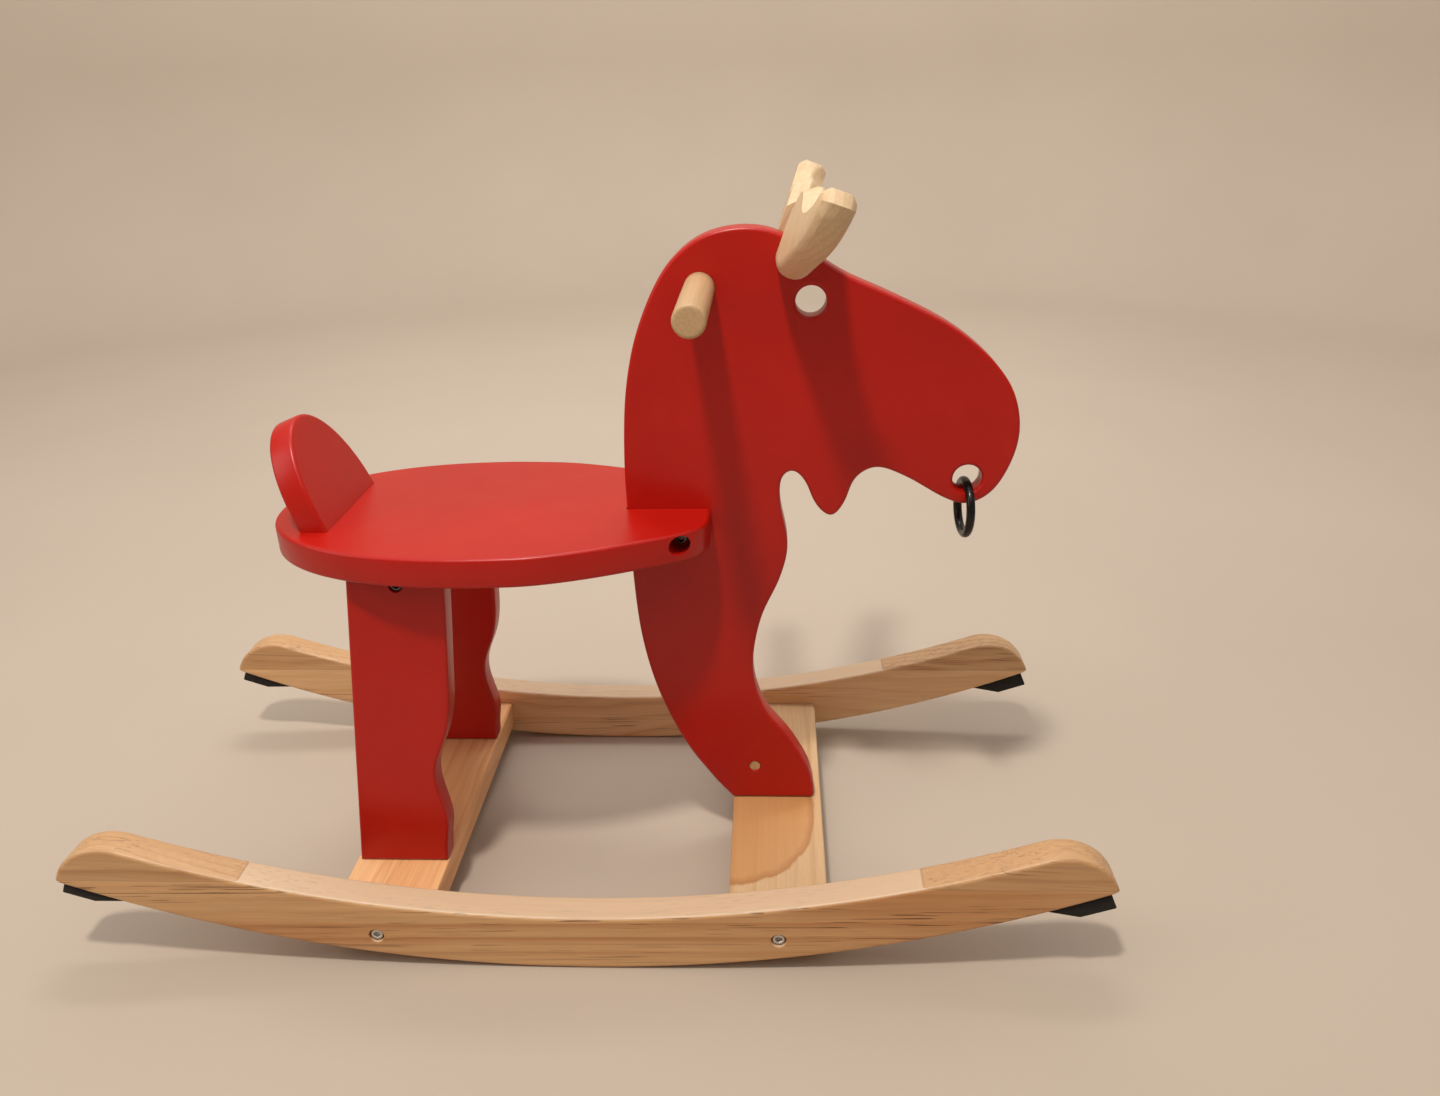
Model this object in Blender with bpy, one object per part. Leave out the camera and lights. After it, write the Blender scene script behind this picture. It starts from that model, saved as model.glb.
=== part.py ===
"""Rocking moose: a child's ride-on toy of painted boards on two curved wooden rockers.

The toy faces +X, its left side is +Y, and Z is up. The origin is on the floor, midway
between the rockers and midway along them. Lengths are in metres.
"""

import math

import bmesh
import bpy
from mathutils import Matrix, Vector

# ---------------------------------------------------------------- driving dimensions

GAP = 0.0003  # clearance between two pieces that touch
BOARD = 0.021  # thickness of the painted head and legs
BOARD_ROUND = 0.003  # rounding of the painted boards' edges

TOY_LENGTH = 0.850
TOY_WIDTH = 0.360

ROCKER_THICKNESS = 0.0265
ROCKER_HEIGHT = 0.052  # of the bar, measured upright at any place along it
ROCKER_RADIUS = 1.120  # of the curve that rolls on the floor
ROCKER_FACETS = 17  # an odd number leaves one level facet at the middle
ROCKER_NOSE_RADIUS = 0.045
ROCKER_NOSE_END_DEG = 18.0
ROCKER_TIP_CHAMFER = 0.004
ROCKER_ROUND = 0.003

RAIL_WIDTH = 0.082
RAIL_THICKNESS = 0.0255
RAIL_TOP = 0.0445
FRONT_RAIL_X = 0.161
REAR_RAIL_X = -0.168

SEAT_TOP = 0.3387
SEAT_THICKNESS = 0.025
SEAT_CENTRE_X = -0.078
SEAT_HALF_LENGTH = 0.184
SEAT_REAR_SQUARENESS = 2.2  # 2 would make the rear half a true ellipse
SEAT_HALF_WIDTH = 0.1125

TAIL_HALF_WIDTH = 0.058
TAIL_HEIGHT = 0.083
TAIL_THICKNESS = 0.022
TAIL_TILT_DEG = 22.0
TAIL_FRONT_X = -0.202  # where its front face meets the seat

LEG_FOOT_Y = 0.093  # middle of a rear leg where it stands on the rail
LEG_SPLAY = 0.061  # how far a leg moves inwards for each metre up
LEG_FOOT_BACK_X = -0.2055
LEG_FOOT_FRONT_X = -0.128
LEG_TOP_BACK_X = -0.1815
LEG_TOP_FRONT_X = -0.1025

HOLE_RADIUS = 0.012  # eye and nostril
EYE = (0.1877, 0.5092)
NOSTRIL = (0.3168, 0.3627)

HANDLE_RADIUS = 0.012
HANDLE_LENGTH = 0.260
HANDLE = (0.102, 0.521)

RING_RADIUS = 0.0222  # of the ring's centre line
RING_THICKNESS_RADIUS = 0.0036
RING_STEPS = 32
RING_TUBE_SIDES = 10
RING_CENTRE_Z = 0.3346
RING_HINGE = (0.3175, 0.3546)  # through the ring where it lies on the lip's edges
RING_TWIST_DEG = 4.5

ANTLER_THICKNESS = 0.024
ANTLER_CHAMFER = 0.005
ANTLER_SWEEP_DEG = {-1: 5.5, 1: 2.0}  # right and left: outer lobe ahead of the inner one
ANTLER_LEAN_DEG = 20.0  # lobes forward of the wrist
ANTLER_WRIST_X = {-1: 0.1700, 1: 0.1665}  # the hand-fixed pair are not quite level
ANTLER_WRIST_Z = 0.5340

BATTEN_THICKNESS = 0.017
BATTEN_WIDTH = 0.064

STOP_WIDTH = 0.0225
STOP_INNER_X = 0.371
STOP_KNEE_X = 0.398
STOP_OUTER_X = 0.4195
FRONT_STOP_DEPTH = 0.0155
REAR_STOP_DEPTH = 0.0105

BOLT_RADIUS = 0.003
BOLT_CLEARANCE = BOLT_RADIUS + GAP
HEAD_RADIUS = 0.005
HEAD_HEIGHT = 0.006
SOCKET_APOTHEM = 0.0025
COUNTERBORE_RADIUS = 0.0065
ROCKER_BOLT_SEAT_DEPTH = 0.0075  # of the recess in the rocker's outer face
LEG_BOLT_SEAT_DEPTH = 0.0075
BOLT_OVERRUN = 0.003  # of a bolt past its barrel nut
NUT_RADIUS = 0.005
NUT_LENGTH = 0.014
DOWEL_RADIUS = 0.004
DOWEL_LENGTH = 0.030
SCREW_RADIUS = 0.00175
SCREW_HEAD_RADIUS = 0.004
SCREW_HEAD_DEPTH = 0.003
SCREW_SINK = 0.001  # of a screw's head below the wood's face
SCREW_HOLE_MOUTH = 0.012  # cut clear above a screw's head

SEAT_BOLT_X = 0.0836
SEAT_BOLT_Z = 0.3284
SEAT_BOLT_RECESS_Y = 0.044  # floor of the recess, from the toy's middle
SEAT_BOLT_RECESS_RADIUS = 0.008
FOOT_NUT = (0.1403, 0.080)
FOOT_DOWEL_X = 0.174
STOP_SCREW_LENGTH = 0.022
STOP_SCREW_SEAT = 0.004  # rubber left under the screw's head
TAIL_SCREW_Y = 0.030
TAIL_SCREW_LENGTH = 0.045
LEG_SCREW_X = (-0.188, -0.147)
LEG_SCREW_LENGTH = 0.045
BATTEN_SCREW_OFFSET = 0.022
BATTEN_SCREW_LENGTH = 0.030
ANTLER_DOWEL_RADIUS = 0.005
ANTLER_DOWEL_LENGTH = 0.050
RAIL_DOWEL_OFFSET = 0.026
RAIL_NUT_INSET = 0.026  # from the end of the rail to the barrel nut

# ---------------------------------------------------------------- derived places

ROCKER_Y = (TOY_WIDTH - ROCKER_THICKNESS) / 2
ROCKER_INNER_Y = TOY_WIDTH / 2 - ROCKER_THICKNESS
RAIL_HALF_LENGTH = ROCKER_INNER_Y - GAP
RAIL_BOTTOM = RAIL_TOP - RAIL_THICKNESS
RAIL_MIDDLE_Z = RAIL_TOP - RAIL_THICKNESS / 2
SEAT_BOTTOM = SEAT_TOP - SEAT_THICKNESS
SEAT_MIDDLE_Z = SEAT_TOP - SEAT_THICKNESS / 2
BOTTOM_ARC_END = TOY_LENGTH / 2 - ROCKER_TIP_CHAMFER
MIDDLE_SAG = ROCKER_RADIUS - math.sqrt(
    ROCKER_RADIUS**2 - (BOTTOM_ARC_END / ROCKER_FACETS) ** 2
)
BATTEN_TOP = SEAT_BOTTOM - GAP
BATTEN_BOTTOM = BATTEN_TOP - BATTEN_THICKNESS
BATTEN_X = (LEG_TOP_BACK_X + LEG_TOP_FRONT_X) / 2
LEG_BOLT_Z = (BATTEN_TOP + BATTEN_BOTTOM) / 2

# The left edge of the seat's front half, as (x, y), and the outlines of the boards, as
# (x, z). A smooth curve runs through the points.

SEAT_FRONT_CURVE = [
    (-0.0780, 0.1125),
    (-0.0330, 0.1091),
    (-0.0040, 0.1020),
    (0.0250, 0.0918),
    (0.0545, 0.0788),
    (0.0800, 0.0662),
    (0.0960, 0.0548),
    (0.1035, 0.0440),
    (0.1060, 0.0320),
    (0.1060, 0.0150),
]

HEAD_CURVE = [
    (0.1948, 0.0580),  # toe
    (0.1905, 0.0760),
    (0.1725, 0.1100),
    (0.1490, 0.1430),
    (0.1396, 0.1830),  # shin
    (0.1470, 0.2340),
    (0.1640, 0.2740),
    (0.1704, 0.3040),  # chest
    (0.1636, 0.3450),
    (0.1655, 0.3670),
    (0.1740, 0.3723),  # throat
    (0.1845, 0.3620),
    (0.1930, 0.3410),
    (0.2065, 0.3295),  # wattle
    (0.2175, 0.3430),
    (0.2250, 0.3640),
    (0.2410, 0.3740),  # jaw
    (0.2660, 0.3654),
    (0.3000, 0.3455),
    (0.3170, 0.3403),  # chin
    (0.3360, 0.3495),
    (0.3510, 0.3760),
    (0.3560, 0.4040),  # nose
    (0.3490, 0.4350),
    (0.3320, 0.4593),
    (0.2990, 0.4872),
    (0.2510, 0.5125),  # brow
    (0.2115, 0.5305),
    (0.1840, 0.5485),
    (0.1600, 0.5622),
    (0.1340, 0.5658),  # crown
    (0.1030, 0.5588),
    (0.0760, 0.5365),
    (0.0530, 0.4920),
    (0.0407, 0.4440),
    (0.0356, 0.3830),  # nape
    (0.0360, 0.3200),
    (0.0416, 0.2180),
    (0.0556, 0.1560),
    (0.0782, 0.1024),
    (0.1040, 0.0630),
]
HEEL = (0.1190, RAIL_TOP + GAP)
TOE = (0.1955, RAIL_TOP + GAP)
HEEL_RADIUS = 0.005
TOE_RADIUS = 0.004

LEG_FRONT_CURVE = [
    (0.1265, 0.0620),  # foot bulge
    (0.1233, 0.0820),
    (0.1265, 0.1010),
    (0.1300, 0.1215),  # hollow
    (0.1290, 0.1375),
    (0.1235, 0.1530),
    (0.1165, 0.1690),
    (0.1115, 0.1900),
    (0.1085, 0.2250),
    (0.1048, 0.2750),
]

# Half of the antler's outline as (outwards, up) from its wrist.

ANTLER_OUTLINE = [
    (-0.0130, 0.0020),
    (0.0060, -0.0030),
    (0.0260, -0.0020),
    (0.0540, 0.0100),
    (0.0820, 0.0240),
    (0.1010, 0.0400),
    (0.1110, 0.0530),
    (0.1150, 0.0630),  # outer lobe
    (0.1080, 0.0710),
    (0.0950, 0.0710),
    (0.0820, 0.0630),
    (0.0640, 0.0560),
    (0.0480, 0.0550),  # notch
    (0.0380, 0.0610),
    (0.0290, 0.0660),  # inner lobe
    (0.0120, 0.0650),
    (0.0020, 0.0540),
    (-0.0130, 0.0420),
]


# ---------------------------------------------------------------- materials


def plain_material(name, colour, roughness, metallic=0.0):
    material = bpy.data.materials.new(name)
    material.use_nodes = True
    shader = material.node_tree.nodes["Principled BSDF"]
    shader.inputs["Base Color"].default_value = (*colour, 1.0)
    shader.inputs["Roughness"].default_value = roughness
    shader.inputs["Metallic"].default_value = metallic
    material.diffuse_color = (*colour, 1.0)
    return material


# ---------------------------------------------------------------- outlines


def smooth_curve(points, spacing):
    """Centripetal Catmull-Rom curve through open control points, about spacing apart."""
    padded = [2 * points[0] - points[1], *points, 2 * points[-1] - points[-2]]
    curve = []
    for before, start, end, after in zip(padded, padded[1:], padded[2:], padded[3:]):
        steps = max(1, round((end - start).length / spacing))
        knots = [0.0]
        for a, b in ((before, start), (start, end), (end, after)):
            knots.append(knots[-1] + math.sqrt((b - a).length))
        for step in range(steps):
            t = knots[1] + (knots[2] - knots[1]) * step / steps
            level = [before, start, end, after]
            for order in (1, 2, 3):
                level = [
                    blend_knots(level[i], level[i + 1], t, *knot_span(knots, i, order))
                    for i in range(len(level) - 1)
                ]
            curve.append(level[0])
    curve.append(points[-1])
    return curve


def knot_span(knots, index, order):
    """The two knots between which one step of the curve's pyramid blends."""
    if order == 1:
        return knots[index], knots[index + 1]
    if order == 2:
        return knots[index], knots[index + 2]
    return knots[1], knots[2]


def blend_knots(a, b, t, low, high):
    return a * ((high - t) / (high - low)) + b * ((t - low) / (high - low))


def arc(centre, radius, start_deg, end_deg, steps):
    angles = [start_deg + (end_deg - start_deg) * i / steps for i in range(steps + 1)]
    return [
        centre
        + radius * Vector((math.cos(math.radians(a)), math.sin(math.radians(a))))
        for a in angles
    ]


def fillet(before, corner, after, radius, steps=3):
    """Points of the arc of that radius that rounds a corner between two neighbours."""
    corner = Vector(corner)
    back = (Vector(before) - corner).normalized()
    ahead = (Vector(after) - corner).normalized()
    half = back.angle(ahead) / 2
    reach = radius / math.tan(half)
    centre = corner + (back + ahead).normalized() * (radius / math.sin(half))
    first = corner + back * reach - centre
    last = corner + ahead * reach - centre
    turn = first.angle_signed(last)
    return [centre + rotated(first, -turn * i / steps) for i in range(steps + 1)]


def rotated(vector, angle):
    cosine, sine = math.cos(angle), math.sin(angle)
    return Vector((cosine * vector.x - sine * vector.y, sine * vector.x + cosine * vector.y))


def rolling_height(x):
    """Height of the rockers' underside above the floor, at a place along the toy."""
    return ROCKER_RADIUS - math.sqrt(ROCKER_RADIUS**2 - x**2) - MIDDLE_SAG


def rocker_outline():
    nose_reach = ROCKER_NOSE_RADIUS * math.cos(math.radians(ROCKER_NOSE_END_DEG))
    top_end = (TOY_LENGTH / 2 - nose_reach) / (1 + ROCKER_NOSE_RADIUS / ROCKER_RADIUS)
    slope = math.asin(top_end / ROCKER_RADIUS)
    top_point = Vector((top_end, rolling_height(top_end) + ROCKER_HEIGHT))
    inward = Vector((math.sin(slope), -math.cos(slope)))
    nose_centre = top_point + ROCKER_NOSE_RADIUS * inward
    nose = arc(
        nose_centre, ROCKER_NOSE_RADIUS, ROCKER_NOSE_END_DEG, 90 + math.degrees(slope), 9
    )
    bottom = [
        Vector((x, rolling_height(x)))
        for x in evenly(-BOTTOM_ARC_END, BOTTOM_ARC_END, ROCKER_FACETS)
    ]
    top = [
        Vector((x, rolling_height(x) + ROCKER_HEIGHT))
        for x in evenly(top_end, -top_end, ROCKER_FACETS)
    ]
    other_nose = [Vector((-point.x, point.y)) for point in reversed(nose)]
    return bottom + nose + top[1:-1] + other_nose


def evenly(start, end, steps):
    return [start + (end - start) * i / steps for i in range(steps + 1)]


def head_outline():
    curve = smooth_curve([Vector(point) for point in HEAD_CURVE], 0.0105)
    heel = fillet(curve[-1], HEEL, TOE, HEEL_RADIUS)
    toe = fillet(HEEL, TOE, curve[0], TOE_RADIUS)
    return curve + heel + toe


def leg_outline():
    floor = RAIL_TOP + GAP
    ceiling = SEAT_BOTTOM - GAP
    curve = [Vector((-x, z)) for x, z in LEG_FRONT_CURVE]
    ends = [Vector((LEG_FOOT_FRONT_X, floor)), Vector((LEG_TOP_FRONT_X, ceiling))]
    front = smooth_curve([ends[0], *curve, ends[1]], 0.0105)
    back = [Vector((LEG_TOP_BACK_X, ceiling)), Vector((LEG_FOOT_BACK_X, floor))]
    return front + back


def part_ellipse(half_length, half_width, steps, start_deg, end_deg):
    """Points of a part of an ellipse, both of its ends included."""
    angles = evenly(math.radians(start_deg), math.radians(end_deg), steps)
    return [Vector((half_length * math.cos(a), half_width * math.sin(a))) for a in angles]


def seat_outline():
    curve = smooth_curve([Vector(point) for point in SEAT_FRONT_CURVE], 0.0075)
    left = [Vector((point.x - SEAT_CENTRE_X, point.y)) for point in curve]
    right = [Vector((point.x, -point.y)) for point in left]
    front = right + left[::-1]
    fullness = 2.0 / SEAT_REAR_SQUARENESS
    rear = []
    for point in part_ellipse(1.0, 1.0, 28, 90.0, 270.0)[1:-1]:
        along = -SEAT_HALF_LENGTH * abs(point.x) ** fullness
        across = math.copysign(SEAT_HALF_WIDTH * abs(point.y) ** fullness, point.y)
        rear.append(Vector((along, across)))
    return front + rear


def stop_outline(side, depth):
    """A rubber stop under a rocker's tip: flat, then level with the rocker's underside."""
    along = evenly(STOP_INNER_X, STOP_OUTER_X, 3)
    top = [Vector((side * x, rolling_height(x) - GAP)) for x in along]
    slope = math.asin(STOP_OUTER_X / ROCKER_RADIUS)
    outer = Vector((side * STOP_OUTER_X, rolling_height(STOP_OUTER_X)))
    outer += depth * Vector((side * math.sin(slope), -math.cos(slope)))
    knee = Vector((side * STOP_KNEE_X, rolling_height(STOP_INNER_X) - GAP))
    thickness = rolling_height(STOP_KNEE_X) - knee.y
    knee.y += thickness - depth
    return top + [outer, knee]


# ---------------------------------------------------------------- solids


def add_object(name, mesh, material, location=(0, 0, 0), rotation=(0, 0, 0)):
    thing = bpy.data.objects.new(name, mesh)
    bpy.context.scene.collection.objects.link(thing)
    thing.location = location
    thing.rotation_euler = rotation
    if material:
        mesh.materials.clear()
        mesh.materials.append(material)
    return thing


def finish_mesh(name, shape):
    bmesh.ops.remove_doubles(shape, verts=shape.verts, dist=1e-6)
    bmesh.ops.recalc_face_normals(shape, faces=shape.faces)
    mesh = bpy.data.meshes.new(name)
    shape.to_mesh(mesh)
    shape.free()
    mesh.shade_smooth()
    mesh.set_sharp_from_angle(angle=math.radians(30))
    return mesh


def slab(name, outline, thickness, shear=0.0):
    """Mesh of an (x, z) outline with that thickness along Y, which may lean with height."""
    shape = bmesh.new()
    face = shape.faces.new([shape.verts.new((p.x, -thickness / 2, p.y)) for p in outline])
    pushed = bmesh.ops.extrude_face_region(shape, geom=[face])
    moved = [v for v in pushed["geom"] if isinstance(v, bmesh.types.BMVert)]
    bmesh.ops.translate(shape, verts=moved, vec=(0, thickness, 0))
    for vertex in shape.verts:
        vertex.co.y += shear * vertex.co.z
    return finish_mesh(name, shape)


def carved_plate(name, outline, thickness, chamfer):
    """Mesh of an (x, z) outline with that thickness along Y and wide chamfered edges."""
    count = len(outline)
    inner = []
    for i, point in enumerate(outline):
        along = (outline[(i + 1) % count] - outline[i - 1]).normalized()
        inner.append(point + chamfer * Vector((-along.y, along.x)))
    half = thickness / 2
    levels = ((inner, -half), (outline, -half + chamfer), (outline, half - chamfer), (inner, half))
    shape = bmesh.new()
    rings = [[shape.verts.new((p.x, y, p.y)) for p in points] for points, y in levels]
    for lower, upper in zip(rings, rings[1:]):
        join_rings(shape, lower, upper, count)
    shape.faces.new(rings[0])
    shape.faces.new(rings[-1])
    return finish_mesh(name, shape)


def turned(name, profile, sides):
    """Mesh turned about Z from (radius, height, hexagonal) rings, first to last."""
    shape = bmesh.new()
    rings = []
    for radius, height, hexagonal in profile:
        if radius == 0:
            rings.append([shape.verts.new((0, 0, height))])
            continue
        ring = []
        for i in range(sides):
            angle = 2 * math.pi * i / sides
            reach = radius
            if hexagonal:
                from_flat = (angle + math.pi / 6) % (math.pi / 3) - math.pi / 6
                reach = radius / math.cos(from_flat)
            ring.append(
                shape.verts.new((reach * math.cos(angle), reach * math.sin(angle), height))
            )
        rings.append(ring)
    for lower, upper in zip(rings, rings[1:]):
        join_rings(shape, lower, upper, sides)
    for ring in (rings[0], rings[-1]):
        if len(ring) > 1:
            shape.faces.new(ring)
    return finish_mesh(name, shape)


def join_rings(shape, lower, upper, sides):
    for i in range(sides):
        j = (i + 1) % sides
        if len(lower) == 1:
            shape.faces.new((lower[0], upper[i], upper[j]))
        elif len(upper) == 1:
            shape.faces.new((lower[j], lower[i], upper[0]))
        else:
            shape.faces.new((lower[i], lower[j], upper[j], upper[i]))


def plain(*rings):
    return [(radius, height, False) for radius, height in rings]


def rounded_rod_profile(radius, half_length, rounding, steps=3):
    """Profile of a rod along Z with rounded end edges."""
    rings = []
    for i in range(steps + 1):
        angle = math.pi / 2 * i / steps
        rings.append(
            (
                radius - rounding * (1 - math.sin(angle)),
                -half_length + rounding * (1 - math.cos(angle)),
            )
        )
    return plain(*rings, *[(r, -z) for r, z in reversed(rings)])


def aim(direction):
    """Rotation that turns +Z to that direction."""
    return Vector(direction).to_track_quat("Z", "Y").to_euler()


def cutter(name, start, end, radius, sides=16):
    """A hidden cylinder from start to end, for cutting holes."""
    start, end = Vector(start), Vector(end)
    length = (end - start).length
    mesh = turned(name, plain((radius, 0), (radius, length)), sides)
    tool = add_object(name, mesh, None, start, aim(end - start))
    tool.hide_render = True
    tool.display_type = "WIRE"
    return tool


def box_cutter(name, low, high):
    shape = bmesh.new()
    bmesh.ops.create_cube(shape, size=1.0)
    low, high = Vector(low), Vector(high)
    size = high - low
    bmesh.ops.scale(shape, vec=size, verts=shape.verts)
    tool = add_object(name, finish_mesh(name, shape), None, (low + high) / 2)
    tool.hide_render = True
    tool.display_type = "WIRE"
    return tool


def cut(target, *tools):
    for tool in tools:
        modifier = target.modifiers.new(tool.name, "BOOLEAN")
        modifier.operation = "DIFFERENCE"
        modifier.object = tool
        modifier.solver = "EXACT"


def round_edges(target, width, segments=2, angle_deg=50.0):
    modifier = target.modifiers.new("edge_rounding", "BEVEL")
    modifier.width = width
    modifier.segments = segments
    modifier.limit_method = "ANGLE"
    modifier.angle_limit = math.radians(angle_deg)
    modifier.use_clamp_overlap = False


# ---------------------------------------------------------------- fasteners


def cap_bolt(name, seat_point, direction, length, material):
    """A socket-head bolt. Its head sits on seat_point and its shank runs along direction."""
    profile = [
        (0, -HEAD_HEIGHT / 2, False),
        (SOCKET_APOTHEM, -HEAD_HEIGHT / 2, True),
        (SOCKET_APOTHEM, -HEAD_HEIGHT, True),
        (HEAD_RADIUS - 0.0005, -HEAD_HEIGHT, False),
        (HEAD_RADIUS, -HEAD_HEIGHT + 0.0005, False),
        (HEAD_RADIUS, 0, False),
        (BOLT_RADIUS, 0, False),
        (BOLT_RADIUS, length - 0.001, False),
        (BOLT_RADIUS - 0.001, length, False),
    ]
    return add_object(name, turned(name, profile, 18), material, seat_point, aim(direction))


def wood_screw(name, head_point, direction, length, material):
    """A countersunk wood screw whose head's flat top is centred on head_point."""
    profile = plain(
        (SCREW_HEAD_RADIUS, 0),
        (SCREW_HEAD_RADIUS, 0.0004),
        (SCREW_RADIUS, SCREW_HEAD_DEPTH),
        (SCREW_RADIUS, length - 0.004),
        (0.0004, length),
    )
    return add_object(name, turned(name, profile, 12), material, head_point, aim(direction))


def screw_cutter(name, head_point, direction, length):
    """Hidden hole for a wood screw, open towards its head."""
    profile = plain(
        (SCREW_HEAD_RADIUS + GAP, -SCREW_HOLE_MOUTH),
        (SCREW_HEAD_RADIUS + GAP, 0.0004 + GAP),
        (SCREW_RADIUS + GAP, SCREW_HEAD_DEPTH + GAP),
        (SCREW_RADIUS + GAP, length + GAP),
    )
    tool = add_object(name, turned(name, profile, 12), None, head_point, aim(direction))
    tool.hide_render = True
    tool.display_type = "WIRE"
    return tool


def barrel_nut(name, centre, direction, bolt_hole, material):
    """A cylindrical nut that lies across a bolt, with its cross hole cut by bolt_hole."""
    profile = rounded_rod_profile(NUT_RADIUS, NUT_LENGTH / 2, 0.0006, 1)
    nut = add_object(name, turned(name, profile, 16), material, centre, aim(direction))
    cut(nut, bolt_hole)
    return nut


def dowel(name, centre, direction, radius, length, material):
    profile = rounded_rod_profile(radius, length / 2, 0.001, 1)
    return add_object(name, turned(name, profile, 12), material, centre, aim(direction))


def dowel_cutter(name, centre, direction, radius, length):
    half = Vector(direction).normalized() * (length / 2 + 2 * GAP)
    middle = Vector(centre)
    return cutter(name, middle - half, middle + half, radius + GAP, 12)


# ---------------------------------------------------------------- sub-parts


def side_name(side):
    return "left" if side > 0 else "right"


def make_rockers(wood):
    mesh = slab("rocker_bar", rocker_outline(), ROCKER_THICKNESS)
    rockers = {}
    for side in (-1, 1):
        name = f"{side_name(side)}_rocker"
        rocker = add_object(name, mesh.copy(), wood, (0, side * ROCKER_Y, 0))
        round_edges(rocker, ROCKER_ROUND)
        rockers[side] = rocker
    return rockers


def make_rail(name, x, wood):
    half_width = RAIL_WIDTH / 2
    outline = [
        Vector((-half_width, RAIL_BOTTOM)),
        Vector((half_width, RAIL_BOTTOM)),
        Vector((half_width, RAIL_TOP)),
        Vector((-half_width, RAIL_TOP)),
    ]
    rail = add_object(name, slab(name, outline, 2 * RAIL_HALF_LENGTH), wood, (x, 0, 0))
    modifier = rail.modifiers.new("edge_rounding", "BEVEL")
    modifier.width = 0.0015
    modifier.segments = 2
    modifier.limit_method = "ANGLE"
    return rail


def join_rail(end, rail, rail_x, rockers, wood, steel):
    """Bolts, barrel nuts and dowels that hold one rail between the two rockers."""
    for side in (-1, 1):
        tag = f"{end}_{side_name(side)}"
        inward = (0, -side, 0)
        recess_floor = side * (TOY_WIDTH / 2 - ROCKER_BOLT_SEAT_DEPTH)
        nut_y = side * (RAIL_HALF_LENGTH - RAIL_NUT_INSET)
        bolt_start = (rail_x, recess_floor, RAIL_MIDDLE_Z)
        length = abs(recess_floor - nut_y) + NUT_RADIUS + BOLT_OVERRUN
        cap_bolt(f"{tag}_rocker_bolt", bolt_start, inward, length, steel)
        hole = cutter(
            f"{tag}_bolt_hole",
            (rail_x, side * TOY_WIDTH, RAIL_MIDDLE_Z),
            (rail_x, recess_floor - side * (length + 0.001), RAIL_MIDDLE_Z),
            BOLT_CLEARANCE,
        )
        recess = cutter(
            f"{tag}_bolt_recess",
            (rail_x, side * TOY_WIDTH, RAIL_MIDDLE_Z),
            (rail_x, recess_floor - side * GAP, RAIL_MIDDLE_Z),
            COUNTERBORE_RADIUS,
        )
        nut_centre = (rail_x, nut_y, RAIL_MIDDLE_Z)
        barrel_nut(f"{tag}_rail_nut", nut_centre, (0, 0, 1), hole, steel)
        nut_hole = cutter(
            f"{tag}_nut_hole",
            (rail_x, nut_y, -RAIL_THICKNESS),
            (rail_x, nut_y, RAIL_MIDDLE_Z + NUT_LENGTH / 2 + GAP),
            NUT_RADIUS + GAP,
        )
        cut(rockers[side], hole, recess)
        cut(rail, hole, nut_hole)
        for order, offset in ((1, -RAIL_DOWEL_OFFSET), (2, RAIL_DOWEL_OFFSET)):
            centre = (rail_x + offset, side * (ROCKER_INNER_Y - GAP / 2), RAIL_MIDDLE_Z)
            dowel(f"{tag}_dowel_{order}", centre, inward, DOWEL_RADIUS, DOWEL_LENGTH, wood)
            tool = dowel_cutter(
                f"{tag}_dowel_hole_{order}", centre, inward, DOWEL_RADIUS, DOWEL_LENGTH
            )
            cut(rockers[side], tool)
            cut(rail, tool)


def make_stops(rockers, rubber, steel):
    ends = (("rear", -1, REAR_STOP_DEPTH), ("front", 1, FRONT_STOP_DEPTH))
    for end, way, depth in ends:
        mesh = slab(f"{end}_stop_block", stop_outline(way, depth), STOP_WIDTH)
        screw_x = (STOP_KNEE_X + STOP_OUTER_X) / 2
        slope = math.asin(screw_x / ROCKER_RADIUS)
        into_wood = Vector((-way * math.sin(slope), 0, math.cos(slope)))
        for side in (-1, 1):
            tag = f"{end}_{side_name(side)}"
            stop = add_object(f"{tag}_stop", mesh.copy(), rubber, (0, side * ROCKER_Y, 0))
            round_edges(stop, 0.001, 1)
            on_wood = Vector((way * screw_x, side * ROCKER_Y, rolling_height(screw_x)))
            head = on_wood - into_wood * (depth - STOP_SCREW_SEAT)
            length = STOP_SCREW_LENGTH
            wood_screw(f"{tag}_stop_screw", head, into_wood, length, steel)
            tool = screw_cutter(f"{tag}_stop_screw_hole", head, into_wood, length)
            cut(stop, tool)
            cut(rockers[side], tool)


def make_head_board(paint):
    board = add_object("head_board", slab("head_board", head_outline(), BOARD), paint)
    for name, (x, z) in (("eye", EYE), ("nostril", NOSTRIL)):
        tool = cutter(f"{name}_hole", (x, -BOARD, z), (x, BOARD, z), HOLE_RADIUS, 32)
        cut(board, tool)
    round_edges(board, BOARD_ROUND)
    return board


def make_seat(paint):
    outline = seat_outline()
    mesh = slab("seat", outline, SEAT_THICKNESS)
    lay_flat = (-math.pi / 2, 0, 0)
    seat = add_object("seat", mesh, paint, (SEAT_CENTRE_X, 0, SEAT_MIDDLE_Z), lay_flat)
    round_edges(seat, BOARD_ROUND)
    half_slot = BOARD / 2 + GAP
    slot = box_cutter(
        "seat_slot",
        (0.0353, -half_slot, SEAT_BOTTOM - BOARD),
        (TOY_LENGTH / 2, half_slot, SEAT_TOP + BOARD),
    )
    cut(seat, slot)
    return seat


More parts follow.
